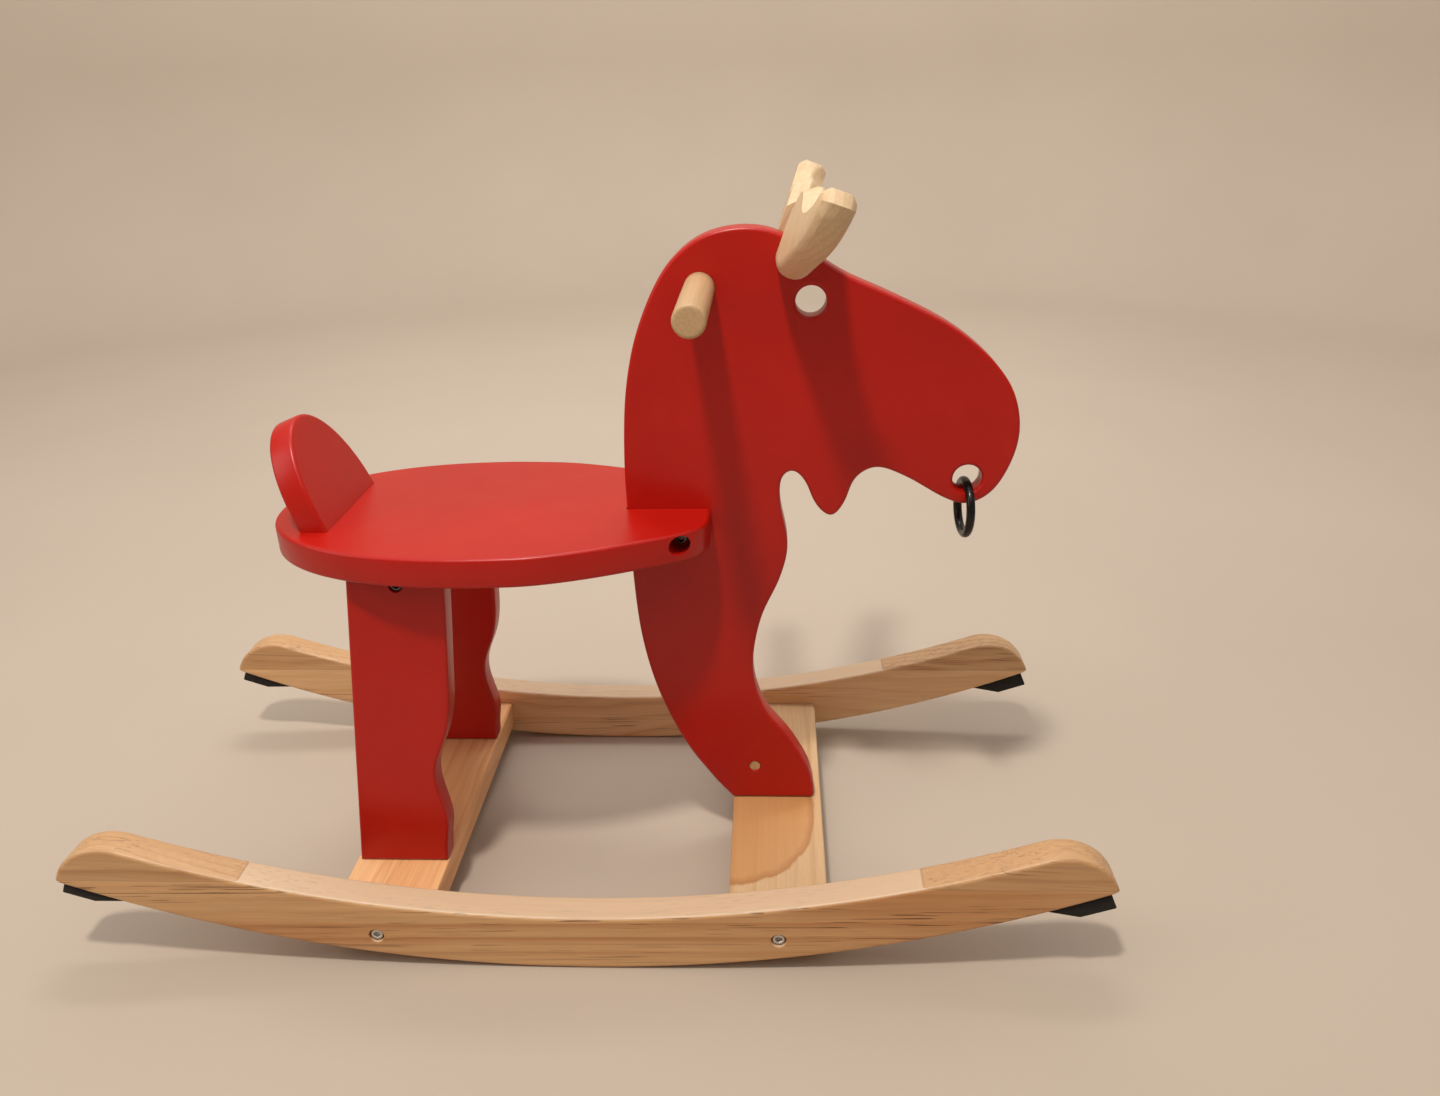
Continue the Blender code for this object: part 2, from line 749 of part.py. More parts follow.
def join_seat_to_head(seat, head_board, steel):
    """A bolt from the right and a sleeve nut from the left, through the seat's two arms."""
    z = SEAT_BOLT_Z
    recess = SEAT_BOLT_RECESS_Y
    hole = cutter(
        "seat_bolt_hole",
        (SEAT_BOLT_X, -TOY_WIDTH / 2, z),
        (SEAT_BOLT_X, TOY_WIDTH / 2, z),
        BOLT_CLEARANCE,
    )
    cut(head_board, hole)
    cut(seat, hole)
    for side in (-1, 1):
        tool = cutter(
            f"seat_{side_name(side)}_recess",
            (SEAT_BOLT_X, side * TOY_WIDTH / 2, z),
            (SEAT_BOLT_X, side * (recess - GAP), z),
            SEAT_BOLT_RECESS_RADIUS,
        )
        cut(seat, tool)
    cap_bolt("seat_bolt", (SEAT_BOLT_X, -recess, z), (0, 1, 0), 2 * recess - GAP, steel)
    nut_profile = [
        (HEAD_RADIUS, 0, False),
        (HEAD_RADIUS, HEAD_HEIGHT - 0.0005, False),
        (HEAD_RADIUS - 0.0005, HEAD_HEIGHT, False),
        (SOCKET_APOTHEM, HEAD_HEIGHT, True),
        (SOCKET_APOTHEM, HEAD_HEIGHT / 2, True),
        (0, HEAD_HEIGHT / 2, False),
    ]
    nut_place = (SEAT_BOLT_X, recess + GAP, z)
    add_object("seat_nut", turned("seat_nut", nut_profile, 18), steel, nut_place, aim((0, 1, 0)))


def join_foot_to_rail(head_board, rail, wood, steel):
    """The bolt, barrel nut and dowel that stand the front leg on the front rail."""
    x, nut_z = FOOT_NUT
    recess_floor = RAIL_BOTTOM + HEAD_HEIGHT + 0.002
    length = nut_z + NUT_RADIUS + BOLT_OVERRUN - recess_floor
    cap_bolt("foot_bolt", (x, 0, recess_floor), (0, 0, 1), length, steel)
    hole = cutter(
        "foot_bolt_hole", (x, 0, 0), (x, 0, recess_floor + length + 0.001), BOLT_CLEARANCE
    )
    recess = cutter(
        "foot_bolt_recess", (x, 0, 0), (x, 0, recess_floor + GAP), COUNTERBORE_RADIUS
    )
    nut_y = -BOARD / 2 + 0.0005 + NUT_LENGTH / 2
    barrel_nut("foot_nut", (x, nut_y, nut_z), (0, -1, 0), hole, steel)
    nut_hole = cutter(
        "foot_nut_hole",
        (x, -BOARD, nut_z),
        (x, nut_y + NUT_LENGTH / 2 + GAP, nut_z),
        NUT_RADIUS + GAP,
    )
    cut(head_board, hole, nut_hole)
    cut(rail, hole, recess)
    centre = (FOOT_DOWEL_X, 0, RAIL_TOP + GAP / 2)
    dowel("foot_dowel", centre, (0, 0, 1), DOWEL_RADIUS, DOWEL_LENGTH, wood)
    tool = dowel_cutter("foot_dowel_hole", centre, (0, 0, 1), DOWEL_RADIUS, DOWEL_LENGTH)
    cut(head_board, tool)
    cut(rail, tool)


def make_tail_rest(seat, paint, steel):
    """The half-oval backrest, leaning back on the seat, and its two screws from below."""
    tilt = math.radians(TAIL_TILT_DEG)
    foot = [Vector((-TAIL_HALF_WIDTH, -BOARD)), Vector((TAIL_HALF_WIDTH, -BOARD))]
    outline = foot + part_ellipse(TAIL_HALF_WIDTH, TAIL_HEIGHT, 32, 0.0, 180.0)
    mesh = slab("tail_rest", outline, TAIL_THICKNESS)
    middle_x = TAIL_FRONT_X - TAIL_THICKNESS / 2 / math.cos(tilt)
    turn = Matrix.Rotation(-tilt, 4, "Y") @ Matrix.Rotation(math.pi / 2, 4, "Z")
    tail = add_object("tail_rest", mesh, paint, (middle_x, 0, SEAT_TOP), turn.to_euler())
    round_edges(tail, BOARD_ROUND)
    below = box_cutter(
        "below_seat_top", (-TOY_LENGTH, -TOY_WIDTH, 0), (0, TOY_WIDTH, SEAT_TOP + GAP)
    )
    cut(tail, below)
    along = Vector((-math.sin(tilt), 0, math.cos(tilt)))
    head_x = middle_x + (SEAT_THICKNESS - SCREW_SINK) * math.tan(tilt)
    for side in (-1, 1):
        tag = f"tail_{side_name(side)}"
        head = (head_x, side * TAIL_SCREW_Y, SEAT_BOTTOM + SCREW_SINK)
        wood_screw(f"{tag}_screw", head, along, TAIL_SCREW_LENGTH, steel)
        tool = screw_cutter(f"{tag}_screw_hole", head, along, TAIL_SCREW_LENGTH)
        cut(seat, tool)
        cut(tail, tool)


def make_rear_legs(rail, seat, paint, steel):
    """Two splayed legs, with screws up through the rail and bolts into a batten."""
    legs = {}
    for side in (-1, 1):
        tag = f"{side_name(side)}_leg"
        mesh = slab(tag, leg_outline(), BOARD, -side * LEG_SPLAY)
        foot_y = side * (LEG_FOOT_Y + LEG_SPLAY * RAIL_TOP)
        leg = add_object(f"{side_name(side)}_rear_leg", mesh, paint, (0, foot_y, 0))
        round_edges(leg, 0.0025)
        for order, x in enumerate(LEG_SCREW_X, start=1):
            head = (x, side * LEG_FOOT_Y, RAIL_BOTTOM + SCREW_SINK)
            length = LEG_SCREW_LENGTH
            wood_screw(f"{tag}_screw_{order}", head, (0, 0, 1), length, steel)
            tool = screw_cutter(f"{tag}_screw_hole_{order}", head, (0, 0, 1), length)
            cut(rail, tool)
            cut(leg, tool)
        legs[side] = leg
    batten = make_batten(paint)
    for side in (-1, 1):
        bolt_leg_to_batten(side, legs[side], batten, steel)
    for order, way in ((1, -1), (2, 1)):
        head = (BATTEN_X + way * BATTEN_SCREW_OFFSET, 0, BATTEN_BOTTOM + SCREW_SINK)
        length = BATTEN_SCREW_LENGTH
        wood_screw(f"batten_screw_{order}", head, (0, 0, 1), length, steel)
        tool = screw_cutter(f"batten_screw_hole_{order}", head, (0, 0, 1), length)
        cut(batten, tool)
        cut(seat, tool)


def leg_inner_face(z):
    """Distance of a leg's inner face from the toy's middle, at that height."""
    return LEG_FOOT_Y - LEG_SPLAY * (z - RAIL_TOP) - BOARD / 2


def make_batten(paint):
    """The bar under the seat that the legs' tops are bolted to, its ends cut to their lean."""
    low = leg_inner_face(BATTEN_BOTTOM) - GAP
    high = leg_inner_face(BATTEN_TOP) - GAP
    outline = [
        Vector((-low, BATTEN_BOTTOM)),
        Vector((low, BATTEN_BOTTOM)),
        Vector((high, BATTEN_TOP)),
        Vector((-high, BATTEN_TOP)),
    ]
    mesh = slab("seat_batten", outline, BATTEN_WIDTH)
    return add_object("seat_batten", mesh, paint, (BATTEN_X, 0, 0), (0, 0, math.pi / 2))


def bolt_leg_to_batten(side, leg, batten, steel):
    tag = f"{side_name(side)}_leg"
    outer_face = leg_inner_face(LEG_BOLT_Z) + BOARD
    recess_floor = side * (outer_face - LEG_BOLT_SEAT_DEPTH)
    nut_y = side * (leg_inner_face(LEG_BOLT_Z) - RAIL_NUT_INSET)
    length = abs(recess_floor - nut_y) + NUT_RADIUS + BOLT_OVERRUN
    start = (BATTEN_X, recess_floor, LEG_BOLT_Z)
    cap_bolt(f"{tag}_top_bolt", start, (0, -side, 0), length, steel)
    hole = cutter(
        f"{tag}_top_bolt_hole",
        (BATTEN_X, side * TOY_WIDTH / 2, LEG_BOLT_Z),
        (BATTEN_X, recess_floor - side * (length + 0.001), LEG_BOLT_Z),
        BOLT_CLEARANCE,
    )
    recess = cutter(
        f"{tag}_top_bolt_recess",
        (BATTEN_X, side * TOY_WIDTH / 2, LEG_BOLT_Z),
        (BATTEN_X, recess_floor - side * GAP, LEG_BOLT_Z),
        HEAD_RADIUS + 2 * GAP,
    )
    barrel_nut(f"{tag}_top_nut", (BATTEN_X, nut_y, LEG_BOLT_Z), (0, 0, 1), hole, steel)
    nut_hole = cutter(
        f"{tag}_top_nut_hole",
        (BATTEN_X, nut_y, BATTEN_BOTTOM - NUT_LENGTH),
        (BATTEN_X, nut_y, LEG_BOLT_Z + NUT_LENGTH / 2 + GAP),
        NUT_RADIUS + GAP,
    )
    cut(leg, hole, recess)
    cut(batten, hole, nut_hole)


def make_handle_bar(head_board, wood):
    x, z = HANDLE
    profile = rounded_rod_profile(HANDLE_RADIUS, HANDLE_LENGTH / 2, 0.0025)
    mesh = turned("handle_bar", profile, 32)
    add_object("handle_bar", mesh, wood, (x, 0, z), (math.pi / 2, 0, 0))
    hole = cutter("handle_hole", (x, -BOARD, z), (x, BOARD, z), HANDLE_RADIUS + GAP, 32)
    cut(head_board, hole)


def make_antlers(head_board, wood):
    """Two carved palms that lean forwards and spread outwards, and the dowel between them."""
    z = ANTLER_WRIST_Z
    inside = box_cutter(
        "between_antlers",
        (-TOY_LENGTH, -BOARD / 2 - GAP, 0),
        (TOY_LENGTH, BOARD / 2 + GAP, 1),
    )
    wrist_x = (ANTLER_WRIST_X[-1] + ANTLER_WRIST_X[1]) / 2
    centre = (wrist_x + 0.006, 0, z + 0.016)
    radius, length = ANTLER_DOWEL_RADIUS, ANTLER_DOWEL_LENGTH
    dowel("antler_dowel", centre, (0, 1, 0), radius, length, wood)
    hole = dowel_cutter("antler_dowel_hole", centre, (0, 1, 0), radius, length)
    for side in (-1, 1):
        name = f"{side_name(side)}_antler"
        outline = [Vector((side * out, up)) for out, up in ANTLER_OUTLINE[::side]]
        mesh = carved_plate(name, outline, ANTLER_THICKNESS, ANTLER_CHAMFER)
        stand = Matrix.Rotation(math.pi / 2, 4, "Z")
        lean = Matrix.Rotation(math.radians(ANTLER_LEAN_DEG), 4, "Y")
        sweep = Matrix.Rotation(-side * math.radians(ANTLER_SWEEP_DEG[side]), 4, "Z")
        turn = sweep @ lean @ stand
        place = (ANTLER_WRIST_X[side], side * BOARD / 2, z)
        antler = add_object(name, mesh, wood, place, turn.to_euler())
        cut(antler, inside, hole)
    cut(head_board, hole)


def make_nose_ring(plastic):
    """A ring that hangs in the nostril and swings fore and aft on the hole's lower lip."""
    hinge_x, hinge_z = RING_HINGE
    shape = bmesh.new()
    loops = []
    for i in range(RING_STEPS):
        around = 2 * math.pi * i / RING_STEPS
        outward = Vector((0, math.cos(around), math.sin(around)))
        loop = []
        for j in range(RING_TUBE_SIDES):
            turn = 2 * math.pi * j / RING_TUBE_SIDES
            reach = RING_RADIUS + RING_THICKNESS_RADIUS * math.cos(turn)
            across = Vector((RING_THICKNESS_RADIUS * math.sin(turn), 0, 0))
            loop.append(shape.verts.new(outward * reach + across))
        loops.append(loop)
    for i in range(RING_STEPS):
        join_rings(shape, loops[i - 1], loops[i], RING_TUBE_SIDES)
    mesh = finish_mesh("nose_ring", shape)
    twist = Matrix.Rotation(math.radians(RING_TWIST_DEG), 4, "Z")
    mesh.transform(Matrix.Translation((0, 0, RING_CENTRE_Z - hinge_z)) @ twist)
    add_object("nose_ring", mesh, plastic, (hinge_x, 0, hinge_z))


def build():
    for thing in list(bpy.data.objects):
        bpy.data.objects.remove(thing)
    paint = plain_material("red_paint", (0.50, 0.012, 0.008), 0.38)
    base_wood = plain_material("honey_pine", (0.48, 0.27, 0.13), 0.50)
    pale_wood = plain_material("pale_wood", (0.66, 0.46, 0.28), 0.55)
    rubber = plain_material("black_rubber", (0.012, 0.011, 0.012), 0.45)
    plastic = plain_material("black_plastic", (0.010, 0.010, 0.011), 0.28)
    steel = plain_material("zinc_steel", (0.55, 0.55, 0.54), 0.35, 1.0)

    rockers = make_rockers(base_wood)
    front_rail = make_rail("front_rail", FRONT_RAIL_X, base_wood)
    rear_rail = make_rail("rear_rail", REAR_RAIL_X, base_wood)
    join_rail("front", front_rail, FRONT_RAIL_X, rockers, pale_wood, steel)
    join_rail("rear", rear_rail, REAR_RAIL_X, rockers, pale_wood, steel)
    make_stops(rockers, rubber, steel)
    seat = make_seat(paint)
    head_board = make_head_board(paint)
    join_seat_to_head(seat, head_board, steel)
    join_foot_to_rail(head_board, front_rail, pale_wood, steel)
    make_tail_rest(seat, paint, steel)
    make_rear_legs(rear_rail, seat, paint, steel)
    make_handle_bar(head_board, pale_wood)
    make_antlers(head_board, pale_wood)
    make_nose_ring(plastic)


build()
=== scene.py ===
import math

import bmesh
import bpy
from mathutils import Matrix, Vector


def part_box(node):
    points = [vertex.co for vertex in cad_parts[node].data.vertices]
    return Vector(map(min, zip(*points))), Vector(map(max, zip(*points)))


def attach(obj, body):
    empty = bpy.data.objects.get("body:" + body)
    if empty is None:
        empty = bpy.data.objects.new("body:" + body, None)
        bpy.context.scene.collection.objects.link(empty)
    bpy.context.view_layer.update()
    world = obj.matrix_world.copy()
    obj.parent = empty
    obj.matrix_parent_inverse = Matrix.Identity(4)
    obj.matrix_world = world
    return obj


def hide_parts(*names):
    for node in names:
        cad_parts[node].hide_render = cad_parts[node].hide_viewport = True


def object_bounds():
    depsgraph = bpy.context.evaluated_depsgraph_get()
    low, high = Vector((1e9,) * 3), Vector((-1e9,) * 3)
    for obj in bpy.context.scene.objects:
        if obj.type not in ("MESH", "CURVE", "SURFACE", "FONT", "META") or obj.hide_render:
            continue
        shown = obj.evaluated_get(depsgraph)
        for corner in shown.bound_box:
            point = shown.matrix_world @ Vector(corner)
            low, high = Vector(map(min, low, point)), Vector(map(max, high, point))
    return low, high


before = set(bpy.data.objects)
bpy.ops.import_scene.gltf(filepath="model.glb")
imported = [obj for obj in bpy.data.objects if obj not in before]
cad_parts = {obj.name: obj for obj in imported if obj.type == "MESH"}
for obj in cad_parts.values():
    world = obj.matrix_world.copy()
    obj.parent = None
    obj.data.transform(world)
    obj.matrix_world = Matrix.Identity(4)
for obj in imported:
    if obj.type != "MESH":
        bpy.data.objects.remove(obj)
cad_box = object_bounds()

# Rocking moose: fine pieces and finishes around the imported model.
# +X is the nose, +Y the moose's left side, Z up, lengths in metres.

# -------------------- dimensions

BOARD = 0.021  # thickness of the painted head and legs
BOARD_ROUND = 0.003  # rounding of the painted boards' rims
SUPPORT = 0.0008  # flat rim kept beside a rounded edge, so that the face shades flat

ROCKER_THICKNESS = 0.0265
ROCKER_HEIGHT = 0.052
ROCKER_RADIUS = 1.120
ROCKER_HALF_LENGTH = 0.425
ROCKER_NOSE_RADIUS = 0.045
ROCKER_NOSE_END_DEG = 18.0
ROCKER_TIP_INSET = 0.003
ROCKER_TIP_ROUND = 0.004
GLUE_HEIGHT = 0.086  # glue line between a rocker's two boards

HALF_WIDTH = 0.18  # of the whole toy: recesses in its sides are cut inwards from here
RAIL_ROUND = 0.0016
RAIL_END_ROUND = 0.0004

SEAT_SQUARENESS = 2.2  # of the rear half's outline: 2 would be an oval
SEAT_SLOT_BACK_X = 0.0353
SEAT_SLOT_CLEARANCE = 0.0003
SEAT_RECESS_RADIUS = 0.0083
TAIL_TILT_DEG = 22.0
TAIL_HEIGHT = 0.083
TAIL_THICKNESS = 0.022
TAIL_FOOT_X = -0.2139
TAIL_ROOT = 0.020  # run past the seat's top, then cut off level
HOLE_RADIUS = 0.012  # eye and nostril
BAR_HOLE_RADIUS = 0.0122
BAR_ROUND = 0.0026
EYE = (0.1877, 0.5092)
NOSTRIL = (0.3168, 0.3627)
RING_TUBE = 0.0036
RING_TWIST_DEG = 4.5
RING_STEPS = 112
TUBE_STEPS = 28

LEG_SPLAY = 0.061  # lean inwards for each metre of height
LEG_ROUND = 0.0025
LEG_FRONT_FOOT_X = -0.128
LEG_FRONT_TOP_X = -0.1025
LEG_REAR_TOP_X = -0.1815
LEG_REAR_FOOT_X = -0.2055
LEG_RECESS_RADIUS = 0.0056

ANTLER_THICKNESS = 0.024
ANTLER_SWEEP_DEG = {-1: 5.5, 1: 2.0}
ANTLER_LEAN_DEG = 20.0
ANTLER_WRIST_X = {-1: 0.1700, 1: 0.1665}
ANTLER_WRIST_Z = 0.5340
ANTLER_STEP = 0.003
ANTLER_BEVEL_STEPS = 5
ANTLER_WRIST_ROUND = 0.0108
ANTLER_LOBE_THINNING = 0.0058  # how much less of it a lobe has
ANTLER_LOBE_START = 0.035  # from here outwards the rounding turns into flat facets
ANTLER_LOBE_SPAN = 0.065
ANTLER_LOBE_FLATNESS = 0.8
ANTLER_TOP_BEVEL = (0.0075, 0.0112, 1.0)  # breadth, depth and flatness
ANTLER_TOP_HEIGHT = 0.045
ANTLER_TOP_END = 0.090

HEAD_HEIGHT = 0.006  # of a bolt's socket head
RECESS_RADIUS = 0.0062  # round a rocker bolt's head
RECESS_DEPTH = 0.0062  # from a head's outer face to the recess floor
NUT_RADIUS = 0.0050
NUT_HALF_LENGTH = 0.007
NUT_HOLE_RADIUS = 0.0053
FOOT_NUT_HOLE = (0.0052, 0.015, 0.0004)  # radius, depth, flare
FOOT_BOLT_HOLE = (0.0065, 0.0085)
SCREW_HOLE = (0.0042, 0.004, 0.0003, 24)  # radius, depth, flare, sides
THREAD_START = 0.0065
THREAD_PITCH = 0.0016

STAGE_RADIUS = 2.6
STAGE_BEND = 0.7
STAGE_HEIGHT = 2.9
STAGE_SIDES = 96

SEAT_CENTRE_X = -0.078
SEAT_FRONT_CURVE = [
    (-0.0780, 0.1125), (-0.0330, 0.1091), (-0.0040, 0.1020), (0.0250, 0.0918), (0.0545, 0.0788),
    (0.0800, 0.0662), (0.0960, 0.0548), (0.1035, 0.0440), (0.1060, 0.0320), (0.1060, 0.0150),
]

HEAD_CURVE = [
    (0.1948, 0.0580), (0.1905, 0.0760), (0.1725, 0.1100), (0.1490, 0.1430), (0.1396, 0.1830),
    (0.1470, 0.2340), (0.1640, 0.2740), (0.1704, 0.3040), (0.1636, 0.3450), (0.1655, 0.3670),
    (0.1740, 0.3723), (0.1845, 0.3620), (0.1930, 0.3410), (0.2065, 0.3295), (0.2175, 0.3430),
    (0.2250, 0.3640), (0.2410, 0.3740), (0.2660, 0.3654), (0.3000, 0.3455), (0.3170, 0.3403),
    (0.3360, 0.3495), (0.3510, 0.3760), (0.3560, 0.4040), (0.3490, 0.4350), (0.3320, 0.4593),
    (0.2990, 0.4872), (0.2510, 0.5125), (0.2115, 0.5305), (0.1840, 0.5485), (0.1600, 0.5622),
    (0.1340, 0.5658), (0.1030, 0.5588), (0.0760, 0.5365), (0.0530, 0.4920), (0.0407, 0.4440),
    (0.0356, 0.3830), (0.0360, 0.3200), (0.0416, 0.2180), (0.0556, 0.1560), (0.0782, 0.1024),
    (0.1040, 0.0630),
]
HEEL = (0.1190, 0.0448)
TOE = (0.1955, 0.0448)

LEG_FRONT_CURVE = [
    (0.1265, 0.0620), (0.1233, 0.0820), (0.1265, 0.1010), (0.1300, 0.1215), (0.1290, 0.1375),
    (0.1235, 0.1530), (0.1165, 0.1690), (0.1115, 0.1900), (0.1085, 0.2250), (0.1048, 0.2750),
]

ANTLER_OUTLINE = [
    (-0.0130, 0.0020), (0.0060, -0.0030), (0.0260, -0.0020), (0.0540, 0.0100),
    (0.0820, 0.0240), (0.1010, 0.0400), (0.1110, 0.0530), (0.1150, 0.0630),
    (0.1080, 0.0710), (0.0950, 0.0710), (0.0820, 0.0630), (0.0640, 0.0560),
    (0.0480, 0.0550), (0.0380, 0.0610), (0.0290, 0.0660), (0.0120, 0.0650),
    (0.0020, 0.0540), (-0.0130, 0.0420),
]


# -------------------- node helpers


def add_node(tree, kind, inputs=None, **settings):
    """A shader node with its settings and its inputs, which are values or other sockets."""
    node = tree.nodes.new("ShaderNode" + kind)
    for name, value in settings.items():
        setattr(node, name, value)
    for name, value in (inputs or {}).items():
        socket = node.inputs[name]
        if isinstance(value, bpy.types.NodeSocket):
            tree.links.new(value, socket)
        else:
            socket.default_value = value
    return node


def math_node(tree, operation, *values):
    return add_node(tree, "Math", dict(enumerate(values)), operation=operation).outputs[0]


def mix_colour(tree, factor, a, b, blend="MIX"):
    node = add_node(tree, "Mix", data_type="RGBA", blend_type=blend)
    for index, value in ((0, factor), (6, a), (7, b)):
        if isinstance(value, bpy.types.NodeSocket):
            tree.links.new(value, node.inputs[index])
        else:
            node.inputs[index].default_value = value if index == 0 else (*value[:3], 1.0)
    return node.outputs[2]


def ramp(tree, factor, *stops, smooth=False):
    """Grey or colour ramp. Each stop is (place, value or colour)."""
    node = add_node(tree, "ValToRGB", {0: factor})
    node.color_ramp.interpolation = "EASE" if smooth else "LINEAR"
    while len(node.color_ramp.elements) < len(stops):
        node.color_ramp.elements.new(0.5)
    for element, (place, value) in zip(node.color_ramp.elements, stops):
        element.position = place
        element.color = (value, value, value, 1.0) if isinstance(value, float) else (*value, 1.0)
    return node.outputs[0]


def noise(tree, vector, scale, detail=2.0, roughness=0.5):
    inputs = {"Vector": vector, "Scale": scale, "Detail": detail, "Roughness": roughness}
    return add_node(tree, "TexNoise", inputs).outputs[0]


def mapped(tree, vector, scale=(1, 1, 1), location=(0, 0, 0), rotation=(0, 0, 0)):
    inputs = {"Vector": vector, "Scale": scale, "Location": location, "Rotation": rotation}
    return add_node(tree, "Mapping", inputs).outputs[0]


def new_material(name):
    material = bpy.data.materials.new(name)
    material.use_nodes = True
    tree = material.node_tree
    shader = tree.nodes["Principled BSDF"]
    place = add_node(tree, "TexCoord").outputs["Object"]
    return material, tree, shader, place


def bump(tree, height, strength, distance, normal=None):
    inputs = {"Height": height, "Strength": strength, "Distance": distance}
    if normal is not None:
        inputs["Normal"] = normal
    return add_node(tree, "Bump", inputs).outputs[0]


# -------------------- materials


def red_paint(name, seed):
    """Satin red paint, rolled on: slight mottling, orange peel, rubbed and dusty patches."""
    material, tree, shader, place = new_material(name)
    place = mapped(tree, place, location=(seed * 1.7, seed * 0.9, seed * 1.3))
    cloudy = noise(tree, place, 6.0, 4.0, 0.55)
    base = ramp(tree, cloudy, (0.32, (0.400, 0.0055, 0.0020)), (0.68, (0.465, 0.0074, 0.0027)))
    rubbed = ramp(tree, noise(tree, place, 24.0, 6.0, 0.72), (0.56, 0.0), (0.80, 1.0))
    worn = (0.600, 0.034, 0.020)
    colour = mix_colour(tree, math_node(tree, "MULTIPLY", rubbed, 0.12), base, worn)
    specks = ramp(tree, noise(tree, place, 560.0, 2.0, 0.6), (0.70, 0.0), (0.76, 1.0))
    dusty = (0.640, 0.200, 0.160)
    colour = mix_colour(tree, math_node(tree, "MULTIPLY", specks, 0.05), colour, dusty)
    tree.links.new(colour, shader.inputs["Base Color"])
    gloss = math_node(tree, "MULTIPLY_ADD", noise(tree, place, 34.0, 5.0, 0.65), 0.14, 0.26)
    gloss = math_node(tree, "MULTIPLY_ADD", rubbed, 0.07, gloss)
    tree.links.new(gloss, shader.inputs["Roughness"])
    shader.inputs["Specular IOR Level"].default_value = 0.38
    peel = noise(tree, place, 480.0, 2.0, 0.5)
    wavy = noise(tree, place, 48.0, 2.0, 0.5)
    normal = bump(tree, wavy, 0.16, 0.0006)
    normal = bump(tree, peel, 0.10, 0.00012, normal)
    tree.links.new(normal, shader.inputs["Normal"])
    return material


def wood_figure(tree, place, colours, grain, pith, ring, seed, warp=0.05, streaks=0.5):
    """Colour and relief of a board. grain turns the grain to X, pith is the rings' middle.

    colours is a palette, and ring is the width of a year's growth.
    """
    early, late, patch, dark = colours
    board = mapped(tree, place, rotation=grain)
    moved = mapped(tree, board, location=(seed * 0.37, pith[0], pith[1]))
    slow = mapped(tree, moved, scale=(0.08, 1.0, 1.0))
    bend = noise(tree, mapped(tree, moved, scale=(2.2, 7.0, 7.0)), 1.0, 3.0, 0.5)
    shift = math_node(tree, "MULTIPLY_ADD", bend, warp, -warp / 2)
    offset = add_node(tree, "CombineXYZ", {"Y": shift, "Z": shift}).outputs[0]
    curved = add_node(tree, "VectorMath", {0: slow, 1: offset}, operation="ADD").outputs[0]
    rings = add_node(
        tree, "TexWave",
        {"Vector": curved, "Scale": math.pi / (10 * ring), "Distortion": 0.9, "Detail": 3.0,
         "Detail Scale": 1.4, "Detail Roughness": 0.6},
        wave_type="RINGS", rings_direction="X", wave_profile="SAW",
    ).outputs["Fac"]
    late_band = ramp(tree, rings, (0.0, 0.30), (0.16, 0.0), (0.60, 0.25), (0.94, 1.0), (1.0, 0.40))
    strength = noise(tree, mapped(tree, moved, scale=(1.5, 26.0, 26.0)), 1.0, 2.0, 0.5)
    strength = ramp(tree, strength, (0.36, 0.30), (0.66, 1.0), smooth=True)
    late_band = math_node(tree, "MULTIPLY", late_band, strength)
    colour = mix_colour(tree, late_band, early, late)
    patches = noise(tree, mapped(tree, moved, scale=(2.6, 13.0, 13.0)), 1.0, 3.0, 0.5)
    patches = ramp(tree, patches, (0.42, 0.0), (0.70, 1.0), smooth=True)
    colour = mix_colour(tree, math_node(tree, "MULTIPLY", patches, 0.75), colour, patch)
    fibre = noise(tree, mapped(tree, moved, scale=(12.0, 520.0, 520.0)), 1.0, 4.0, 0.65)
    shade = ramp(tree, fibre, (0.30, 0.88), (0.64, 1.04))
    colour = mix_colour(tree, 1.0, colour, shade, "MULTIPLY")
    zone = noise(tree, mapped(tree, moved, scale=(2.0, 30.0, 30.0)), 1.0, 2.0, 0.5)
    zone = ramp(tree, zone, (0.46, 0.10), (0.60, 1.0))
    dashes = noise(tree, mapped(tree, moved, scale=(15.0, 600.0, 600.0)), 1.0, 1.0, 0.4)
    dashes = math_node(tree, "MULTIPLY", ramp(tree, dashes, (0.63, 0.0), (0.67, 1.0)), zone)
    veins = noise(tree, mapped(tree, moved, scale=(4.0, 420.0, 420.0)), 1.0, 1.0, 0.4)
    veins = math_node(tree, "MULTIPLY", ramp(tree, veins, (0.66, 0.0), (0.70, 1.0)), zone)
    marks = math_node(tree, "MAXIMUM", dashes, math_node(tree, "MULTIPLY", veins, 0.75))
    colour = mix_colour(tree, math_node(tree, "MULTIPLY", marks, streaks), colour, dark)
    relief = math_node(tree, "MULTIPLY_ADD", marks, -0.8, fibre)
    relief = math_node(tree, "MULTIPLY_ADD", late_band, 0.20, relief)
    return colour, relief


def finish_wood(tree, shader, colour, relief, roughness, depth=0.00012):
    tree.links.new(colour, shader.inputs["Base Color"])
    gloss = math_node(tree, "MULTIPLY_ADD", relief, -0.16, roughness + 0.08)
    tree.links.new(gloss, shader.inputs["Roughness"])
    tree.links.new(bump(tree, relief, 0.35, depth), shader.inputs["Normal"])
    shader.inputs["Specular IOR Level"].default_value = 0.45


